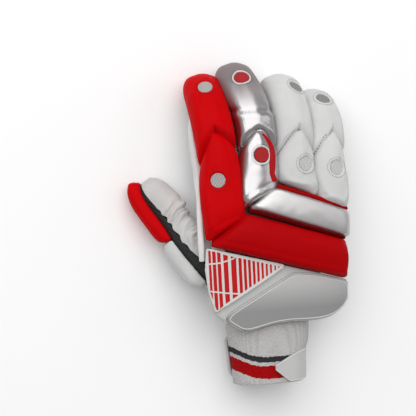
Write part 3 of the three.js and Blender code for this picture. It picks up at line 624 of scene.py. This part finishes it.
recess = {
    "radius": 6.7,
    "soft": 0.9,
    "depth": 0.2,  # from the disc's middle to the floor of its recess at the rim
    "dish": 0.5,  # how much deeper the floor is in the middle
    "lipAt": 0.7,  # a raised lip outside the recess: place, width and height
    "lip": 1.5,
    "rise": 0.35,
    "reach": (-1.4, 6),  # only leather this far below and above the disc moves
    "around": 12,
}


def pressVent(pad, node):
    # a round recess for the disc, with a lip round it
    centre, axis = ventAxis(node)
    points = pointsOf(pad)
    offset = points - centre
    height = offset @ axis / mm
    away = np.linalg.norm(offset - np.outer(offset @ axis, axis), axis=1) / mm
    lowest, highest = recess["reach"]
    near = (height > lowest) & (height < highest)
    inside = near & (away < recess["radius"])
    floor = -recess["depth"] - recess["dish"] * easeStep(0, recess["radius"], away)
    blend = 1 - easeStep(recess["radius"] - recess["soft"], recess["radius"], away)
    lift = np.where(inside, (floor - height) * blend, 0)
    rim = np.exp(-(((away - recess["radius"] - recess["lipAt"]) / recess["lip"]) ** 2)) * recess["rise"]
    lift = np.where(~inside & near & (away < recess["around"]), rim, lift)
    putPoints(pad, points + np.outer(lift * mm, axis))


trim = {
    "rim": (6.9, 8.1),  # radii of the white ring round a vent of the silver finger
    "rimSoft": 0.3,
    "rimReach": 5,  # how far above and below a vent's disc its ring is painted
    # the red strip down its lower pad: along the finger, then its two edges
    "strip": [
        (2, -7, -1), (9, -9.4, -4), (17, -9.4, -2.8), (25, -8.2, -2),
        (32, -8.4, -2.6), (38, -10.6, -5.6), (43, -13.4, -10),
    ],
    "stripSoft": 0.4,
    "neck": (64.2, 3.2, 0.9),  # a cross fold of the upper pad: place, width and depth
    "shoulder": (1.8, 0.8),  # the swelling beside it: how many widths away, its share of the depth
}


def foldNeck(pad):
    # the fold across the silver finger where it narrows
    at, width, depth = trim["neck"]
    away, share = trim["shoulder"]
    run = (localOf(pointsOf(pad))[:, 1] - at) / width
    fold = -np.exp(-(run**2)) + share * np.exp(-((run + away) ** 2))
    swell(pad, depth * fold * (0.55 + 0.45 * np.abs(normalsOf(pad)[:, 0])))


def trimSilver(pad, half, node):
    # where the silver finger is painted: rings round its vents, and the strip
    points = pointsOf(pad)
    centre, axis = ventAxis(node)
    offset = points - centre
    away = np.linalg.norm(offset - np.outer(offset @ axis, axis), axis=1) / mm
    near = np.abs(offset @ axis) < trim["rimReach"] * mm
    inner, outer = trim["rim"]
    blur = trim["rimSoft"]
    ring = easeStep(inner - blur, inner + blur, away) * (1 - easeStep(outer - blur, outer + blur, away))
    paintOf(pad, near * ring, "rimPaint")
    strip = np.zeros(len(points))
    if half == "lower":
        along, left, right = np.array(trim["strip"]).T
        x, y = localOf(points)[:, :2].T
        blur = trim["stripSoft"]
        strip = easeStep(-blur, blur, x - np.interp(y, along, left))
        strip *= easeStep(-blur, blur, np.interp(y, along, right) - x)
        strip *= (y > along[0]) & (y < along[-1]) & (normalsOf(pad)[:, 2] > 0)
    paintOf(pad, strip, "redPaint")


pleats = {
    "reach": (17, 4),  # they grow between these distances from the end of the pad
    "pitch": 3.4,
    "depth": 0.45,
    "wander": 2.2,
    "wanderSize": 11,
    "patch": 7,  # they are deeper in some patches than in others
}


def pleatTip(pad):
    # the leather gathers in pleats where it turns under the fingertip
    points = pointsOf(pad)
    first, full = [points[:, 1].max() - away * mm for away in pleats["reach"]]
    ends = easeStep(first, full, points[:, 1])
    under = easeStep(-0.15, -0.7, normalsOf(pad)[:, 2]) * easeStep(0.2, 0.5, ends)
    lines = points[:, 0] / mm + pleats["wander"] * softNoise(points, pleats["wanderSize"], seed=2.7)
    strength = 0.5 + 0.9 * np.clip(softNoise(points, pleats["patch"], seed=6.4) + 0.3, 0, 1)
    swell(pad, pleats["depth"] * under * strength * np.sin(lines * 2 * math.pi / pleats["pitch"]))


def fingerPad(f, half):
    # one pad of a finger with the mesh disc sunk in it
    part = half.title()
    vent = f + "_" + half + "_vent"
    node = f + "_" + half + "_pad"
    sides = (foam["across"], *foam[half][f])
    pad = foamPiece(node, f + "Pad" + part, *padLooks[f], foam["edge"], sides)
    pressVent(pad, vent)
    if f == "middle" and half == "upper":
        foldNeck(pad)
    if f == "middle":
        trimSilver(pad, half, vent)
    if half == "upper":
        pleatTip(pad)
    disc = copyOf(vent, f + "Vent" + part)
    shadeSoft(disc, 40)
    dress(disc, *ventLooks[f][half], vent)
    return pad


fingerPads = {(f, half): fingerPad(f, half) for f in fingerNames for half in ("upper", "lower")}

seams = {
    # from a pad's hidden edge to its stitches, left and right of the point
    "edge": {"index": (5.0, 5.6), "middle": (4.8, 4.8), "ring": (5.2, 3.9), "little": (5.2, 3.9)},
    "size": 1.3,  # of those stitches, against the usual ones
    "lift": 0.2,
    "ring": 8.8,  # radius of the stitches round a vent
    "ringSize": 0.9,
    "ringLift": 0.12,
    # the row that finds the edge: how finely it goes across, the pad's length above the seam, and the
    # rise between neighbours from which it has run off the edge
    "across": 0.7,
    "above": 45,
    "jump": 3,
}
# a black cord in the groove between the silver finger's lip and ridge, standing in for the shade there: a
# painted shadow line
lipShade = Finish("lipShade", (0.04, 0.04, 0.04), 0.6).material
# along the silver finger's seam: inset, lift, radius and material
lips = {
    "middleLip": (0.7, 0.1, 0.85, paintedHighlightSilver),
    "middleLipShade": (2.1, -0.05, 0.35, lipShade),
    "middleRidge": (3.2, -0.25, 0.7, paintedHighlightSilver),
}
threadRed = Finish("redThread", (0.13, 0.001, 0.002), 0.8).material
threadGrey = Finish("greyThread", (0.08, 0.08, 0.08), 0.8).material
threads = {"index": threadRed, "middle": threadGrey, "ring": threadGrey, "little": threadGrey}


def swallowtail(pad, left, right):
    # along the lower edge of an upper pad, found from above
    surface = surfaceOf(pad)
    low, high = flatBox(pad)
    edge = []
    for x in np.arange(low[0] + 0.6 * mm, high[0] - 0.6 * mm, seams["across"] * mm):
        for y in np.arange(low[1], high[1] - seams["above"] * mm, probe["step"] * mm):
            if dropOn(surface, x, y)[0]:
                edge.append((x, y))
                break
    edge = np.array(edge)
    middle = len(edge) // 2
    breaks = np.flatnonzero(np.abs(np.diff(edge[:, 1])) >= seams["jump"] * mm)
    first = max([i + 1 for i in breaks if i < middle], default=0)
    last = min([i for i in breaks if i >= middle], default=len(edge) - 1)
    edge = smoothPath(edge[first:last + 1], 3)
    point = edge[np.argmax(edge[:, 1]), 0]
    inset = left + (right - left) * easeStep(point, point + 5 * mm, edge[:, 0])
    return surface, edge + inwardOf(np.gradient(edge, axis=0)) * inset[:, None] * mm


def ventRing(pad, node, radius, count=30):
    # a ring on the pad round its vent
    centre, axis = ventAxis(node)
    surface = surfaceOf(pad)
    aside = np.cross(axis, [0, 1, 0])
    aside /= np.linalg.norm(aside)
    ahead = np.cross(aside, axis)
    ring = []
    for turn in np.linspace(0, 2 * math.pi, count, endpoint=False):
        start = centre + (math.cos(turn) * aside + math.sin(turn) * ahead) * radius * mm + axis * 8 * mm
        place, normal, _, _ = surface.ray_cast(Vector(start), Vector(-axis))
        if place:
            ring.append(tuple(place + normal * seams["ringLift"] * mm))
    return surface, ring


for f in fingerNames:
    slot = padLooks[f][1]
    upper = fingerPads[f, "upper"]
    surface, seam = swallowtail(upper, *seams["edge"][f])
    seam = laid(surface, seam, seams["lift"])
    stitches(f + "ChevronStitches", seam, threads[f], slot, surface=surface, size=seams["size"])
    if f == "middle":
        for name, (inset, lift, radius, material) in lips.items():
            surface, edge = swallowtail(upper, inset, inset)
            cord(name, laid(surface, edge, lift), radius, material, slot)
    for half in ("upper", "lower"):
        surface, ring = ventRing(fingerPads[f, half], f + "_" + half + "_vent", seams["ring"])
        name = f + half.title() + "RingStitches"
        stitches(name, ring, threads[f], slot, True, surface, seams["ringSize"])
print("glove: finger pads ready")

# how firmly each roll keeps its corners, and how far it swells across the hand, up and down it
rolls = {
    "roll": (0.95, (0.1, 1.3, 2.2)),
    "bar": (0.95, (0.1, 0.7, 0.9)),
    "piping": (0.5, (0.1, 1, 0.4)),
    "guard": (0.5, (0.2, 0.2, 0.2)),
    "thumb": (0.8, (0.2, 0.2, 0.2)),
}
foamPiece("red_roll", "redRoll", rollRed, "red_pad", *rolls["roll"])
bar = foamPiece("silver_bar", "silverBar", barSilver, "silver", *rolls["bar"])
foamPiece("bar_piping_upper", "pipingUpper", pipingRed, "piping", *rolls["piping"])
lowerPiping = foamPiece("bar_piping_lower", "pipingLower", pipingDark, "piping", *rolls["piping"])
# the line of the bar's slanting end, how far it moves to the left and up, and how much of the bar follows
barEnd = {"low": (-23.5, -20.2), "high": (-2.5, -4.5), "left": 2.6, "up": 0.78, "over": 14}


def reachIn(obj):
    # the slanting end of the bar, pulled in towards the corner of the red roll
    points = pointsOf(obj)
    low, high = np.array(barEnd["low"]), np.array(barEnd["high"])
    along = (high - low) / np.linalg.norm(high - low)
    right = (localOf(points)[:, :2] - low) @ np.array([along[1], -along[0]])
    share = 1 - easeStep(0, barEnd["over"], right)
    points[:, 0] -= barEnd["left"] * mm * share
    points[:, 1] += barEnd["up"] * mm * share
    putPoints(obj, points)


reachIn(bar)
reachIn(lowerPiping)
foamPiece("side_guard", "sideGuard", guardWhite, "white_pad", *rolls["guard"])
foamPiece("thumb_pad_upper", "thumbPadUpper", redPad, "red_pad", *rolls["thumb"])
foamPiece("thumb_pad_lower", "thumbPadLower", whitePad, "white_pad", *rolls["thumb"])
print("glove: rolls and thumb pads ready")


sheet = {"levels": 2, "edge": 0.8, "corner": 60}


def sheetPiece(node, name, material, slot, **changes):
    # a sheet of leather, mesh or knit that keeps its firm edges
    values = {**sheet, **changes}
    obj = copyOf(node, name)
    creaseEdges(obj, values["corner"], values["edge"])
    subdivide(obj, values["levels"])
    shadeSoft(obj)
    dress(obj, material, slot, node)
    return obj


def joinedSkin(first, rest, name):
    # the CAD pieces of one skin, joined across the small gaps between them
    parts = [copyOf(node, name + node.title()) for node in (first, *rest)]
    bpy.ops.object.select_all(action="DESELECT")
    for part in parts:
        part.select_set(True)
    bpy.context.view_layer.objects.active = parts[0]
    bpy.ops.object.join()
    obj = bpy.context.active_object
    obj.name = name
    bpy.ops.object.mode_set(mode="EDIT")
    bpy.ops.mesh.select_all(action="SELECT")
    bpy.ops.mesh.remove_doubles(threshold=copying["joinGap"] * mm)
    bpy.ops.mesh.select_all(action="DESELECT")
    bpy.ops.mesh.select_mode(type="FACE")
    bpy.ops.mesh.select_interior_faces()
    bpy.ops.mesh.delete(type="FACE")
    bpy.ops.object.mode_set(mode="OBJECT")
    return obj


def skinPiece(first, rest, name, material, slot):
    obj = joinedSkin(first, rest, name)
    creaseEdges(obj, sheet["corner"], sheet["edge"])
    subdivide(obj, sheet["levels"])
    shadeSoft(obj)
    dress(obj, material, slot, first, *rest)
    return obj


def ofFingers(ending):
    return [f + ending for f in fingerNames]


palm = skinPiece("palm_leather", ofFingers("_palm_leather"), "palmLeather", palmLeather, "leather")
creases = {"pitch": 7.5, "depth": 0.9, "palm": 0.8, "fold": 19, "dent": 8}


def creaseLeather(obj):
    # creases across the finger tongues, and slow folds in the palm
    points = pointsOf(obj)
    local = localOf(points)
    under = easeStep(0.2, -0.4, normalsOf(obj)[:, 2])
    across = softNoise(points, creases["pitch"], stretch=(3.2, 1, 3.2), seed=4.4)
    slow = softNoise(points, creases["fold"], stretch=(1, 1.6, 1), seed=9.1)
    slow = slow + 0.6 * softNoise(points, creases["dent"], seed=1.9)
    onFinger = easeStep(-4, 12, local[:, 1])
    swell(obj, under * (onFinger * creases["depth"] * across + (1 - onFinger) * creases["palm"] * slow))


creaseLeather(palm)
sheetPiece("heel_patch", "heelPatch", heelLeather, "grey_leather")
liner = skinPiece("back_liner", ofFingers("_back_liner"), "backLiner", linerWhite, "liner")
# where the liner's painted shade begins from its thumb side on, and where it turns white again along the
# fingers
linerShade = {"thumbSide": (-50, -44), "fingers": (26, 34)}


def shadeLiner(obj):
    # painted shade: the liner's upward faces turn dark where they lie in shadow between the pads
    local = localOf(pointsOf(obj))
    shaded = easeStep(0.5, 0.7, normalsOf(obj)[:, 2]) * easeStep(*linerShade["thumbSide"], local[:, 0])
    paintOf(obj, shaded * (1 - easeStep(*linerShade["fingers"], local[:, 1])))


shadeLiner(liner)
for f in fingerNames:
    sheetPiece(f + "_gusset", f + "Gusset", blackMesh, "mesh")
for i in "123":
    sheetPiece("finger_web_" + i, "fingerWeb" + i, blackMesh, "mesh")
gauntlet = sheetPiece("gauntlet", "gauntlet", gauntletWhite, "gauntlet", edge=0.95, corner=32)
flap = sheetPiece("flap_panel", "flapPanel", flapGreyPaintedShade, "gauntlet", edge=0.95, corner=26)
thumb = sheetPiece("thumb_leather", "thumbLeather", palmLeather, "leather", levels=3)

folds = {
    "root": (-54, -58),  # millimetres from the knuckles
    "lean": 35,
    "from": 12,
    "fadeIn": 14,
    "to": 68,
    "fadeOut": 22,
    "pitch": 9.5,
    "depth": 2.1,
}


def foldThumb(obj):
    # wavering folds across the thumb's sleeve
    points = pointsOf(obj)
    local = localOf(points)
    axis = math.radians(90 + folds["lean"])
    ahead = np.array([math.cos(axis), math.sin(axis)])
    across = np.array([math.sin(axis), -math.cos(axis)])
    offset = local[:, :2] - np.array(folds["root"])
    along, aside = offset @ ahead, offset @ across
    warp = 9 * softNoise(points, 26, seed=3.1) + 3 * softNoise(points, 9, seed=5.7) + 0.02 * aside**2
    wave = np.sin((along + warp) * 2 * math.pi / folds["pitch"])
    ridge = np.sign(wave) * np.abs(wave) ** 1.3
    begun = easeStep(folds["from"], folds["from"] + folds["fadeIn"], along)
    ended = easeStep(folds["to"] - folds["fadeOut"], folds["to"], along)
    strength = 0.35 + 0.65 * np.clip(0.5 + 1.4 * softNoise(points, 14, seed=8.2), 0, 1)
    swell(obj, folds["depth"] * ridge * (begun * (1 - ended)) * strength)


foldThumb(thumb)
sheetPiece("thumb_mesh", "thumbMesh", netMesh, "mesh", levels=3)
strap = sheetPiece("wrist_strap", "wristStrap", gauntletWhite, "gauntlet", edge=0.9, corner=40)
badge = copyOf("strap_badge", "strapBadge")
dress(badge, badgeRed, "badge", "strap_badge")

edging = {"piping": 0.5, "inset": 0.4, "sink": 0.15, "stitchInset": -1.9, "stitchLift": 0.05}
pipingWhite = coated("whitePiping", (0.66, 0.65, 0.64), 0.45)


def edgePanel(obj, name, slot, under):
    # a piped rim round a panel, and a row of stitches beside it on the sheet below
    surface = surfaceOf(obj)
    rim = outlineOf(surface, flatBox(obj), edging["inset"])
    cord(name + "Piping", laid(surface, rim, -edging["sink"]), edging["piping"], pipingWhite, slot, True)
    beside = outlineOf(surface, flatBox(obj), edging["stitchInset"])
    stitches(name + "Stitches", laid(under, beside, edging["stitchLift"]), threadGrey, slot, True, under)


edgePanel(flap, "flap", "gauntlet", surfaceOf(gauntlet))
palmWork = {
    "seam": 1.5,  # from the leather's edge to its stitches
    "seamLift": 0.05,
    "binding": 0.75,
    "bindingInset": 0.1,
    "openEnd": 3,  # both stop this far from the tongue's end in the palm
    "holeRows": [0.16, 0.3, 0.44, 0.58, 0.72, 0.86],
    "holeAside": 4.6,
    "holeShare": 0.28,  # the most of the leather's width that a hole stands aside
    "holeRadius": 0.75,
    "hems": [3.2, 5.4],
    "hemStep": 1.5,
    "heelInset": 1.6,
    "heelLift": 0.1,
}
holeBlack = Finish("punchedHole", (0.01, 0.01, 0.01), 0.9).material
bindingBlack = coated("blackBinding", (0.05, 0.05, 0.052), 0.6)
badgeGrey = coated("badgeEdging", (0.1, 0.1, 0.105), 0.5)
palmSurface = surfaceOf(palm)


def tongueWork(f):
    # a bound and stitched edge round a finger's leather, and its pairs of punched holes
    node = nodes[f + "_palm_leather"]
    surface = surfaceOf(node)
    low, high = flatBox(node)
    root = low[1] + palmWork["openEnd"] * mm
    for name, inset in (("Binding", palmWork["bindingInset"]), ("Seam", palmWork["seam"])):
        rim = outlineOf(surface, (low, high), inset)
        start = np.argmin(rim[:, 1])
        path = [p for p in np.roll(rim, -start, axis=0) if p[1] > root]
        path = laid(palmSurface, path, palmWork["seamLift"], -1)
        if name == "Seam":
            stitches(f + "PalmSeam", path, threadGrey, "leather", surface=palmSurface)
        else:
            cord(f + "PalmBinding", path, palmWork["binding"], bindingBlack, "leather")
    places = []
    for share in palmWork["holeRows"]:
        y = low[1] + (high[1] - low[1]) * share
        row = [x for x in np.arange(low[0], high[0], probe["step"] * mm) if dropOn(surface, x, y)[0]]
        middle = (row[0] + row[-1]) / 2
        aside = min(palmWork["holeAside"] * mm, (row[-1] - row[0]) * palmWork["holeShare"])
        places += laid(palmSurface, [(middle - aside, y), (middle + aside, y)], 0, -1)
    dots(f + "PunchedHoles", places, palmSurface, palmWork["holeRadius"], holeBlack, "leather")


for f in fingerNames:
    tongueWork(f)

palmLow, palmHigh = flatBox(nodes["palm_leather"])
for i, up in enumerate(palmWork["hems"]):
    across = np.arange(palmLow[0], palmHigh[0], palmWork["hemStep"] * mm)
    hem = laid(palmSurface, [(x, palmLow[1] + up * mm) for x in across], palmWork["seamLift"], -1)
    stitches("palmHem" + str(i), hem, threadGrey, "leather", surface=palmSurface)
heelSurface = surfaceOf(nodes["heel_patch"])
heelRim = outlineOf(heelSurface, flatBox(nodes["heel_patch"]), palmWork["heelInset"])
heelRim = laid(heelSurface, heelRim, palmWork["heelLift"], -1)
stitches("heelSeam", heelRim, threadGrey, "grey_leather", True, heelSurface)

strapSurface = surfaceOf(strap)
strapLow, strapHigh = flatBox(strap)
strapWork = {
    "ends": 1.5,  # left free at both sides of the wrist
    "step": 1.2,
    "middle": 25,  # the height between its back and its palm side, from the knuckles
    "edge": 0.5,  # inset, radius and sinking of its binding
    "binding": 0.55,
    "sink": 0.1,
    "seam": 2.4,  # inset and lift of its stitches
    "seamLift": 0.05,
}


def strapEdges(side):
    # the strap's two long edges on one side of the wrist: 1 on the back, -1 under the palm
    low, high = [], []
    ends = strapWork["ends"] * mm
    middle = knuckles.z + strapWork["middle"] * mm
    for x in np.arange(strapLow[0] + ends, strapHigh[0] - ends, strapWork["step"] * mm):
        row = []
        for y in np.arange(strapLow[1], strapHigh[1], probe["step"] * mm):
            place, normal = dropOn(strapSurface, x, y, side)
            if place and normal.z * side > 0.3 and (place.z - middle) * side > 0:
                row.append(y)
        if row:
            low.append((x, row[0]))
            high.append((x, row[-1]))
    return low, high


for side in (1, -1):
    for name, path, inset in zip(("Low", "High"), strapEdges(side), (1, -1)):
        title = "strap" + ("Back" if side > 0 else "Palm") + name
        rim = [(x, y + inset * strapWork["edge"] * mm) for x, y in path]
        rim = laid(strapSurface, rim, -strapWork["sink"], side)
        cord(title + "Edge", rim, strapWork["binding"], pipingWhite, "gauntlet")
        if side < 0:
            seam = [(x, y + inset * strapWork["seam"] * mm) for x, y in path]
            seam = laid(strapSurface, seam, strapWork["seamLift"], side)
            stitches(title + "Seam", seam, threadGrey, "gauntlet", surface=strapSurface)

badgeWork = {"inset": -0.35, "down": 0.45, "radius": 0.95}
badgeRim = outlineOf(surfaceOf(badge), flatBox(badge), badgeWork["inset"], 96)
badgeTop = max(v.co.z for v in badge.data.vertices) - badgeWork["down"] * mm
cord("badgeEdge", [(x, y, badgeTop) for x, y in badgeRim], badgeWork["radius"], badgeGrey, "badge", True)
print("glove: leather, mesh and gauntlet ready")

bands = {
    "pale": (0.72, 0.71, 0.7),
    "grey": (0.045, 0.045, 0.05),
    "red": (0.5, 0.003, 0.005),
    # their upper edges along the cuff, in millimetres from its hem
    "stripes": [(23.4, "grey"), (18.6, "pale"), (15.4, "red"), (4.6, "pale")],
    # they rise from this line towards the thumb side by the square of the distance, up to the last value
    "bow": (-14, 0.0125, 9.6),
    "fray": 2.6,
    "loop": 1.6,
    "knit": 1.25,
    "knitDepth": 0.9,
}


def towelling():
    # pale knit with its woven bands, frayed where two colours meet
    finish = Finish("towelling", bands["pale"], 0.95, Specular_IOR_Level=0.1)
    hem = min(v.co.y for v in nodes["wrist_cuff"].data.vertices)
    x, y, _ = finish.axes()
    line, rise, most = bands["bow"]
    aside = finish.math("MINIMUM", finish.math("SUBTRACT", x, knuckles.x + line * mm), 0.0)
    bow = finish.math("MULTIPLY", finish.math("MULTIPLY", aside, aside), rise / mm)
    loops = finish.noise(bands["loop"], 1, scale=(1, 0.25, 1), turn=(0, 0, 12))
    ragged = finish.math("MULTIPLY_ADD", loops, bands["fray"] * mm, -bands["fray"] / 2 * mm)
    height = finish.math("SUBTRACT", finish.math("ADD", y, ragged), hem)
    height = finish.math("SUBTRACT", height, finish.math("MINIMUM", bow, most * mm))
    color = bands["pale"]
    for top, stripe in bands["stripes"]:
        color = finish.mix(finish.math("LESS_THAN", height, top * mm), color, bands[stripe])
    knit = finish.cells(bands["knit"], scale=(0.55, 1, 0.8), turn=(0, 0, 32), random=0.3)
    finish.paint(finish.mix(finish.math("MULTIPLY", knit, 0.95), color, (0.42, 0.4, 0.4), "MULTIPLY"))
    finish.bump(knit, bands["knitDepth"])
    finish.bump(finish.noise(0.5, 3), 0.25)
    return finish.material


flare = {"by": 4.2, "across": (2, 26), "along": (-152, -134)}


def flareCuff(obj):
    # the cuff widens at its little-finger side, above its hem
    points = pointsOf(obj)
    local = localOf(points)
    spread = easeStep(*flare["across"], local[:, 0]) * easeStep(*flare["along"], local[:, 1])
    points[:, 0] += flare["by"] * mm * spread
    putPoints(obj, points)


flareCuff(sheetPiece("wrist_cuff", "wristCuff", towelling(), "towel", levels=3))
print("glove: cuff ready")

bars = {
    # the middle of each bar and its width, in millimetres across from the knuckles
    "across": [
        (-61.9, 1.7), (-58.4, 2.4), (-54.4, 2.5), (-49, 3.3), (-42.4, 3.9),
        (-37, 2.35), (-32.9, 2.1), (-29.1, 2), (-25.3, 1.85), (-21.6, 1.75),
        (-17.8, 1.65), (-14.1, 1.5), (-10.4, 1.4), (-6.7, 1.25), (-3.3, 1.15),
    ],
    "fuller": 1.14,
    "lean": -0.02,
    "border": 2.0,
    "sideBorder": 1.0,
    "relief": 0.45,
    "plate": 2.75,  # the most that the panel stands off the flap before its bars are raised
    "voxel": 0.33,
    "red": (0.5, 0.002, 0.004),
    "rimRadius": 0.62,
    # two white lines across the bars, as places along them
    "crossings": [
        [
            (-66, -64.4), (-58, -64), (-53.6, -63.7), (-49.2, -62.6),
            (-42.7, -60.6), (-39.8, -58.5), (-36, -52),
        ],
        [(-66, -86.6), (-58.4, -87.9), (-49.3, -89.4), (-43.6, -90.1), (-30, -91.6)],
    ],
    "crossHalf": 0.65,
}


def panelRim():
    # the panel's outline seen from above
    surface = surfaceOf(nodes["stripe_panel"])
    return outlineOf(surface, flatBox(nodes["stripe_panel"]), 0, 400)


def barPattern(points, rim):
    # 1 on a red bar and 0 between them
    local = localOf(points)
    x, y = local[:, 0] - bars["lean"] * (local[:, 1] + 75), local[:, 1]
    red = np.zeros(len(points))
    for centre, width in bars["across"]:
        red = np.maximum(red, 1 - easeStep(-0.15, 0.15, np.abs(x - centre) - width * bars["fuller"] / 2))
    for crossing in bars["crossings"]:
        across, along = np.array(crossing).T
        red *= easeStep(-0.15, 0.15, np.abs(y - np.interp(local[:, 0], across, along)) - bars["crossHalf"])
    away = np.full(len(points), np.inf)
    for start in range(0, len(rim), 40):
        part = rim[start:start + 40]
        gaps = np.linalg.norm(points[:, None, :2] - part[None], axis=2).min(axis=1) / mm
        away = np.minimum(away, gaps)
    leftEdge = easeStep(-48, -56, local[:, 0])
    border = bars["border"] + (bars["sideBorder"] - bars["border"]) * leftEdge
    return red * easeStep(-0.2, 0.2, away - border)


def stripePanel():
    # the panel with its bars raised and painted, and its rim
    obj = copyOf("stripe_panel", "stripePanel")
    remesh(obj, bars["voxel"])
    ground = surfaceOf(nodes["gauntlet"])
    points = pointsOf(obj)
    for point in points:
        hit = ground.ray_cast(Vector(point) + Vector((0, 0, 0.001)), Vector((0, 0, -1)))
        if hit[0]:
            point[2] -= max(0, point[2] - hit[0].z - bars["plate"] * mm)
    putPoints(obj, points)
    relax(obj, 0.5, 5)
    rim = panelRim()
    facing = easeStep(0.5, 0.9, normalsOf(obj)[:, 2])
    red = barPattern(pointsOf(obj), rim) * facing
    swell(obj, bars["relief"] * red)
    paintOf(obj, red)
    shadeSoft(obj)
    finish = Finish("stripePanel", (0.66, 0.64, 0.62), 0.45, Specular_IOR_Level=0.2)
    finish.bump(finish.noise(1.1, 3), 0.06)
    painted(finish, bars["red"])
    dress(obj, finish.material, "red_pad", "stripe_panel")
    cord("stripeRim", laid(surfaceOf(obj), rim, 0), bars["rimRadius"], pipingWhite, "gauntlet", True)


stripePanel()
print("glove: striped panel ready")

view = {
    "target": (-57.5, -17.2, 40),  # millimetres from the knuckles
    "tilt": 15,  # degrees towards the thumb
    "turn": 3,  # degrees about the line of sight
    "distance": 1100,
    "width": 353.6,  # what the picture takes in across, at the target
}


def addFloor():
    bpy.ops.mesh.primitive_plane_add(size=12, location=(0, 0, -0.0002))
    floor = bpy.context.active_object
    floor.name = "floor"
    floor.data.materials.append(Finish("paleFloor", (0.97, 0.97, 0.97), 0.9).material)


def addLights():
    lights = [
        # place, aim, size, power
        ((-0.45, 1.0, 1.8), (0, 0, 0), 3.0, 50),
        ((1.6, 0.2, 1.2), (0, 0, 0), 1.2, 4),
    ]
    for place, aim, size, power in lights:
        bpy.ops.object.light_add(type="AREA", location=place)
        light = bpy.context.active_object
        light.data.size = size
        light.data.energy = power
        away = Vector(place) - Vector(aim)
        light.rotation_euler = away.to_track_quat("Z", "Y").to_euler()
    world = bpy.data.worlds.new("studio")
    bpy.context.scene.world = world
    world.use_nodes = True
    background = world.node_tree.nodes["Background"].inputs
    background["Color"].default_value = (1, 1, 1, 1)
    background["Strength"].default_value = 0.36


def addCamera():
    tilt, turn = math.radians(view["tilt"]), math.radians(view["turn"])
    toCamera = Vector((-math.sin(tilt), 0, math.cos(tilt)))
    level = Vector((math.cos(tilt), 0, math.sin(tilt)))
    ahead = Vector((0, 1, 0))
    right = level * math.cos(turn) - ahead * math.sin(turn)
    up = level * math.sin(turn) + ahead * math.cos(turn)
    camera = bpy.data.objects.new("camera", bpy.data.cameras.new("camera"))
    bpy.context.scene.collection.objects.link(camera)
    camera.data.lens = camera.data.sensor_width * view["distance"] / view["width"]
    place = Vector(view["target"]) * mm + knuckles + toCamera * view["distance"] * mm
    camera.matrix_world = Matrix((
        (right.x, up.x, toCamera.x, place.x),
        (right.y, up.y, toCamera.y, place.y),
        (right.z, up.z, toCamera.z, place.z),
        (0, 0, 0, 1),
    ))
    camera.data.clip_end = 20
    bpy.context.scene.camera = camera


addFloor()
addLights()
addCamera()
bpy.context.scene.view_settings.view_transform = "Standard"
print("glove: floor, light and camera ready")
